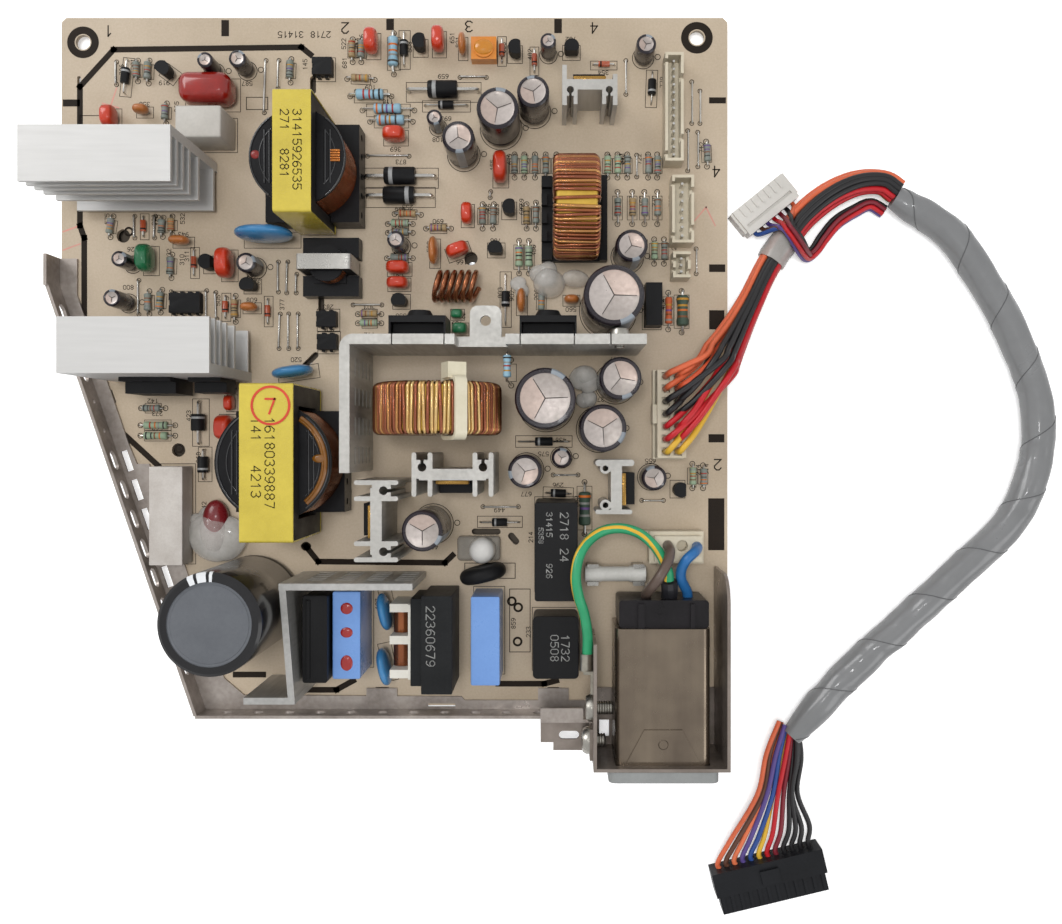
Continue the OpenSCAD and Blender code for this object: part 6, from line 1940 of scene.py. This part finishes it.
class SUPPLY_OT_dipped(bpy.types.Operator):
    """Builds the dipped and disc capacitors as soft drops of epoxy on two leads"""
    bl_idname = "supply.dipped"
    bl_label = "Dipped capacitors"

    def execute(self, context):
        bm = bmesh.new()
        finishes = [tinned_finish(context)] + [
            finish("dip_" + name, code, roughness=0.3, spread=0.16, coat=0.45, bump=0.2, depth=0.06,
                   Patch_Scale=130.0)
            for name, code in (
                ("red", "c4371a"), ("blue", "3f84b8"), ("green", "1c6a42"), ("wine", "7c2520"),
                ("tan", "b06a34"))
        ]
        for lump in lumps_of("dipped_capacitors"):
            green, wine = near(lump, [(27, 143.5), (130, 122.5)]), near(lump, [(129, 126.5)], 3)
            index = 3 if green else 4 if wine else 1
            self.drop(bm, lump, index, 0.3, 0.5)
        for lump in lumps_of("disc_capacitors"):
            self.drop(bm, lump, 2 if lump.length > 11.5 * MM else 5, 0.8)
        piece("dipped_drops", bm, finishes,
              replaces=["dipped_capacitors", "disc_capacitors"], sharp=60)
        self.film_blocks()
        return {"FINISHED"}

    def film_blocks(self):
        """The dark red one is dipped and round at its edges, the white one is a potted box."""
        bm = bmesh.new()
        for index, lump in enumerate(sorted(lumps_of("film_capacitors"), key=lambda each: -each.middle.y)):
            low = max(lump.bottom, BOARD_ORIGIN.z)
            size = (lump.length, lump.width, lump.top - low)
            box_form(
                bm, lump.place(low), size, (-lump.length / 2, -lump.width / 2, 0), (3.4, 0.6)[index] * MM,
                index, segments=(6, 2)[index])
        piece("film_blocks", bm, [
            finish("film_wine", "9a1c12", "7c140d", roughness=0.2, spread=0.14, coat=0.5, bump=0.2,
                   Patch_Scale=80.0),
            finish("film_white", "bdb9b2", "aba7a0", roughness=0.4, bump=0.15)],
            replaces=["film_capacitors"], sharp=50)

    def drop(self, bm, lump, index, flat, power=0.77):
        """A closed drop, flattened across, that fills the solid's box; less power squares its ends."""
        length, width = lump.length / 2, lump.width / 2
        low = max(lump.bottom, BOARD_ORIGIN.z) + 0.9 * MM
        high = lump.top
        middle = (low + high) / 2
        tall = (high - low) / 2
        rows, count = 14, 24
        rings = []
        for i in range(rows + 1):
            v = -math.pi / 2 + math.pi * i / rows
            ring = []
            for u in full_turn(count):
                cu, su = math.cos(u), math.sin(u)
                x = length * abs(cu) ** power * (1 if cu > 0 else -1) * math.cos(v) ** (power + 0.03)
                y = width * abs(su) ** (power + 0.13) * (1 if su > 0 else -1) * max(math.cos(v), 0.0) ** flat
                z = middle + tall * math.sin(v)
                spot = lump.spot(z) + lump.along * x + lump.across * y
                ring.append(spot)
            rings.append(ring)
        verts = []
        for i, ring in enumerate(rings):
            if i in (0, rows):
                verts.append([bm.verts.new(sum(ring, Vector()) / count)])
            else:
                verts.append([bm.verts.new(spot) for spot in ring])
        skin(bm, verts, index, caps=False)
        for side in (-1, 1):
            foot = lump.spot(BOARD_ORIGIN.z - 0.1 * MM)
            foot += lump.along * side * length * 0.55
            head = Vector((foot.x, foot.y, low + tall * 0.5)) - lump.along * side * length * 0.08
            sweep(bm, [foot, foot * 0.5 + head * 0.5, head], 0.28 * MM, sides=6)


class SUPPLY_OT_plastics(bpy.types.Operator):
    """Finishes the headers, pins, connectors and trimmer, and builds the hot melt glue"""
    bl_idname = "supply.plastics"
    bl_label = "Connectors and glue"

    def execute(self, context):
        nylon = finish("nylon_white", "cdc4b0", "bcb29c", roughness=0.4, spread=0.14, bump=0.15, coat=0.1,
                       Patch_Scale=70.0)
        for node in ("output_headers", "harness_plug"):
            dress(node, nylon)
        dress("white_connector", finish(
            "connector_white", "cfccc6", "bfbcb6", roughness=0.38, bump=0.15, coat=0.1))
        dress("header_pins", tinned_finish(context))
        dress("black_connector", black_plastic(
            "connector_black", "1f2023", "17181a", roughness=0.42, spread=0.16, bump=0.2))
        softened("trimmer", 0.2, finish(
            "trimmer_orange", "d98a2e", "c4762a", roughness=0.35, coat=0.3, bump=0.2))
        self.glue()
        return {"FINISHED"}

    def glue(self):
        """Uneven, half clear dabs of hot glue, one with a red part under it, and the trimmer's lacquer."""
        bm = bmesh.new()
        rng = random.Random(31)
        for lump in lumps_of("hot_melt"):
            size = [(lump.high[k] - lump.low[k]) / 2 for k in range(3)]
            middle = (lump.low + lump.high) / 2
            for _ in range(3):
                ways = [
                    (Vector([rng.uniform(-3, 3) for _ in range(3)]), rng.uniform(0, 6.28)) for _ in range(7)]
                off = Vector((rng.uniform(-0.5, 0.5) * size[0], rng.uniform(-0.5, 0.5) * size[1], 0))
                swollen = [size[0] * 1.05, size[1] * 0.98, size[2] * rng.uniform(0.9, 1.3)]
                blob(bm, middle + off, swollen, 0, ways)
        trimmer = lumps_of("trimmer")[0]
        blob(bm, trimmer.spot(trimmer.top - 0.3 * MM),
             millimetres(3.2, 2.6, 1.1), 2)
        blob(bm, at(51.4, 57.6, 2.6), millimetres(4.3, 6.8, 3.2), 1)
        for spot, size, index in (
            ((50.8, 53.6, 1.6), (6.4, 8.4, 4.9), 3), ((159.6, 135.0, 2.0), (6.0, 5.2, 5.4), 0),
            ((168.0, 136.4, 1.5), (5.2, 3.2, 4.6), 0)
        ):
            blob(bm, at(*spot), millimetres(*size), index, ways)
        piece("glue_blobs", bm, [
            finish("hot_melt_glue", "dfdcd6", "bdb9b2", roughness=0.16, spread=0.14, coat=0.6, bump=0.25,
                   depth=0.12, alpha=0.42, Patch_Scale=90.0),
            finish("glued_red", "741a20", "5c1418", roughness=0.3, coat=0.3),
            finish("lacquer_yellow", "dd9422", "c27a16", roughness=0.15, coat=0.6, alpha=0.85),
            finish("glue_film", "d6cfca", "b9b0ab", roughness=0.14, spread=0.14, coat=0.6, bump=0.25,
                   depth=0.12, alpha=0.3, Patch_Scale=90.0)],
            replaces=["hot_melt"], sharp=80)


class SUPPLY_PT_panel(bpy.types.Panel):
    """Lists the supply's operators with their settings"""
    bl_idname = "SUPPLY_PT_panel"
    bl_label = "Open frame power supply"
    bl_space_type = "VIEW_3D"
    bl_region_type = "UI"
    bl_category = "Supply"

    def draw(self, context):
        for key, settings in SETTINGS.items():
            box = self.layout.box()
            for name in settings.__annotations__:
                box.prop(getattr(context.scene, key), name)
        for operator in OPERATORS:
            self.layout.operator(operator.bl_idname)


OPERATORS = [
    SUPPLY_OT_stage,
    SUPPLY_OT_harness,
    SUPPLY_OT_mains,
    SUPPLY_OT_board,
    SUPPLY_OT_metalwork,
    SUPPLY_OT_transformers,
    SUPPLY_OT_wound_rings,
    SUPPLY_OT_line_filter,
    SUPPLY_OT_cans,
    SUPPLY_OT_dipped,
    SUPPLY_OT_axial_parts,
    SUPPLY_OT_links,
    SUPPLY_OT_semiconductors,
    SUPPLY_OT_plastics,
]
CLASSES = [*SETTINGS.values(), *OPERATORS, SUPPLY_PT_panel]


def register():
    for kind in CLASSES:
        bpy.utils.register_class(kind)
    for key, settings in SETTINGS.items():
        setattr(bpy.types.Scene, key, bpy.props.PointerProperty(type=settings))


def unregister():
    for key in SETTINGS:
        delattr(bpy.types.Scene, key)
    for kind in reversed(CLASSES):
        bpy.utils.unregister_class(kind)


def main():
    register()
    for operator in OPERATORS:
        family, name = operator.bl_idname.split(".")
        getattr(getattr(bpy.ops, family), name)()


if __name__ == "__main__":
    main()
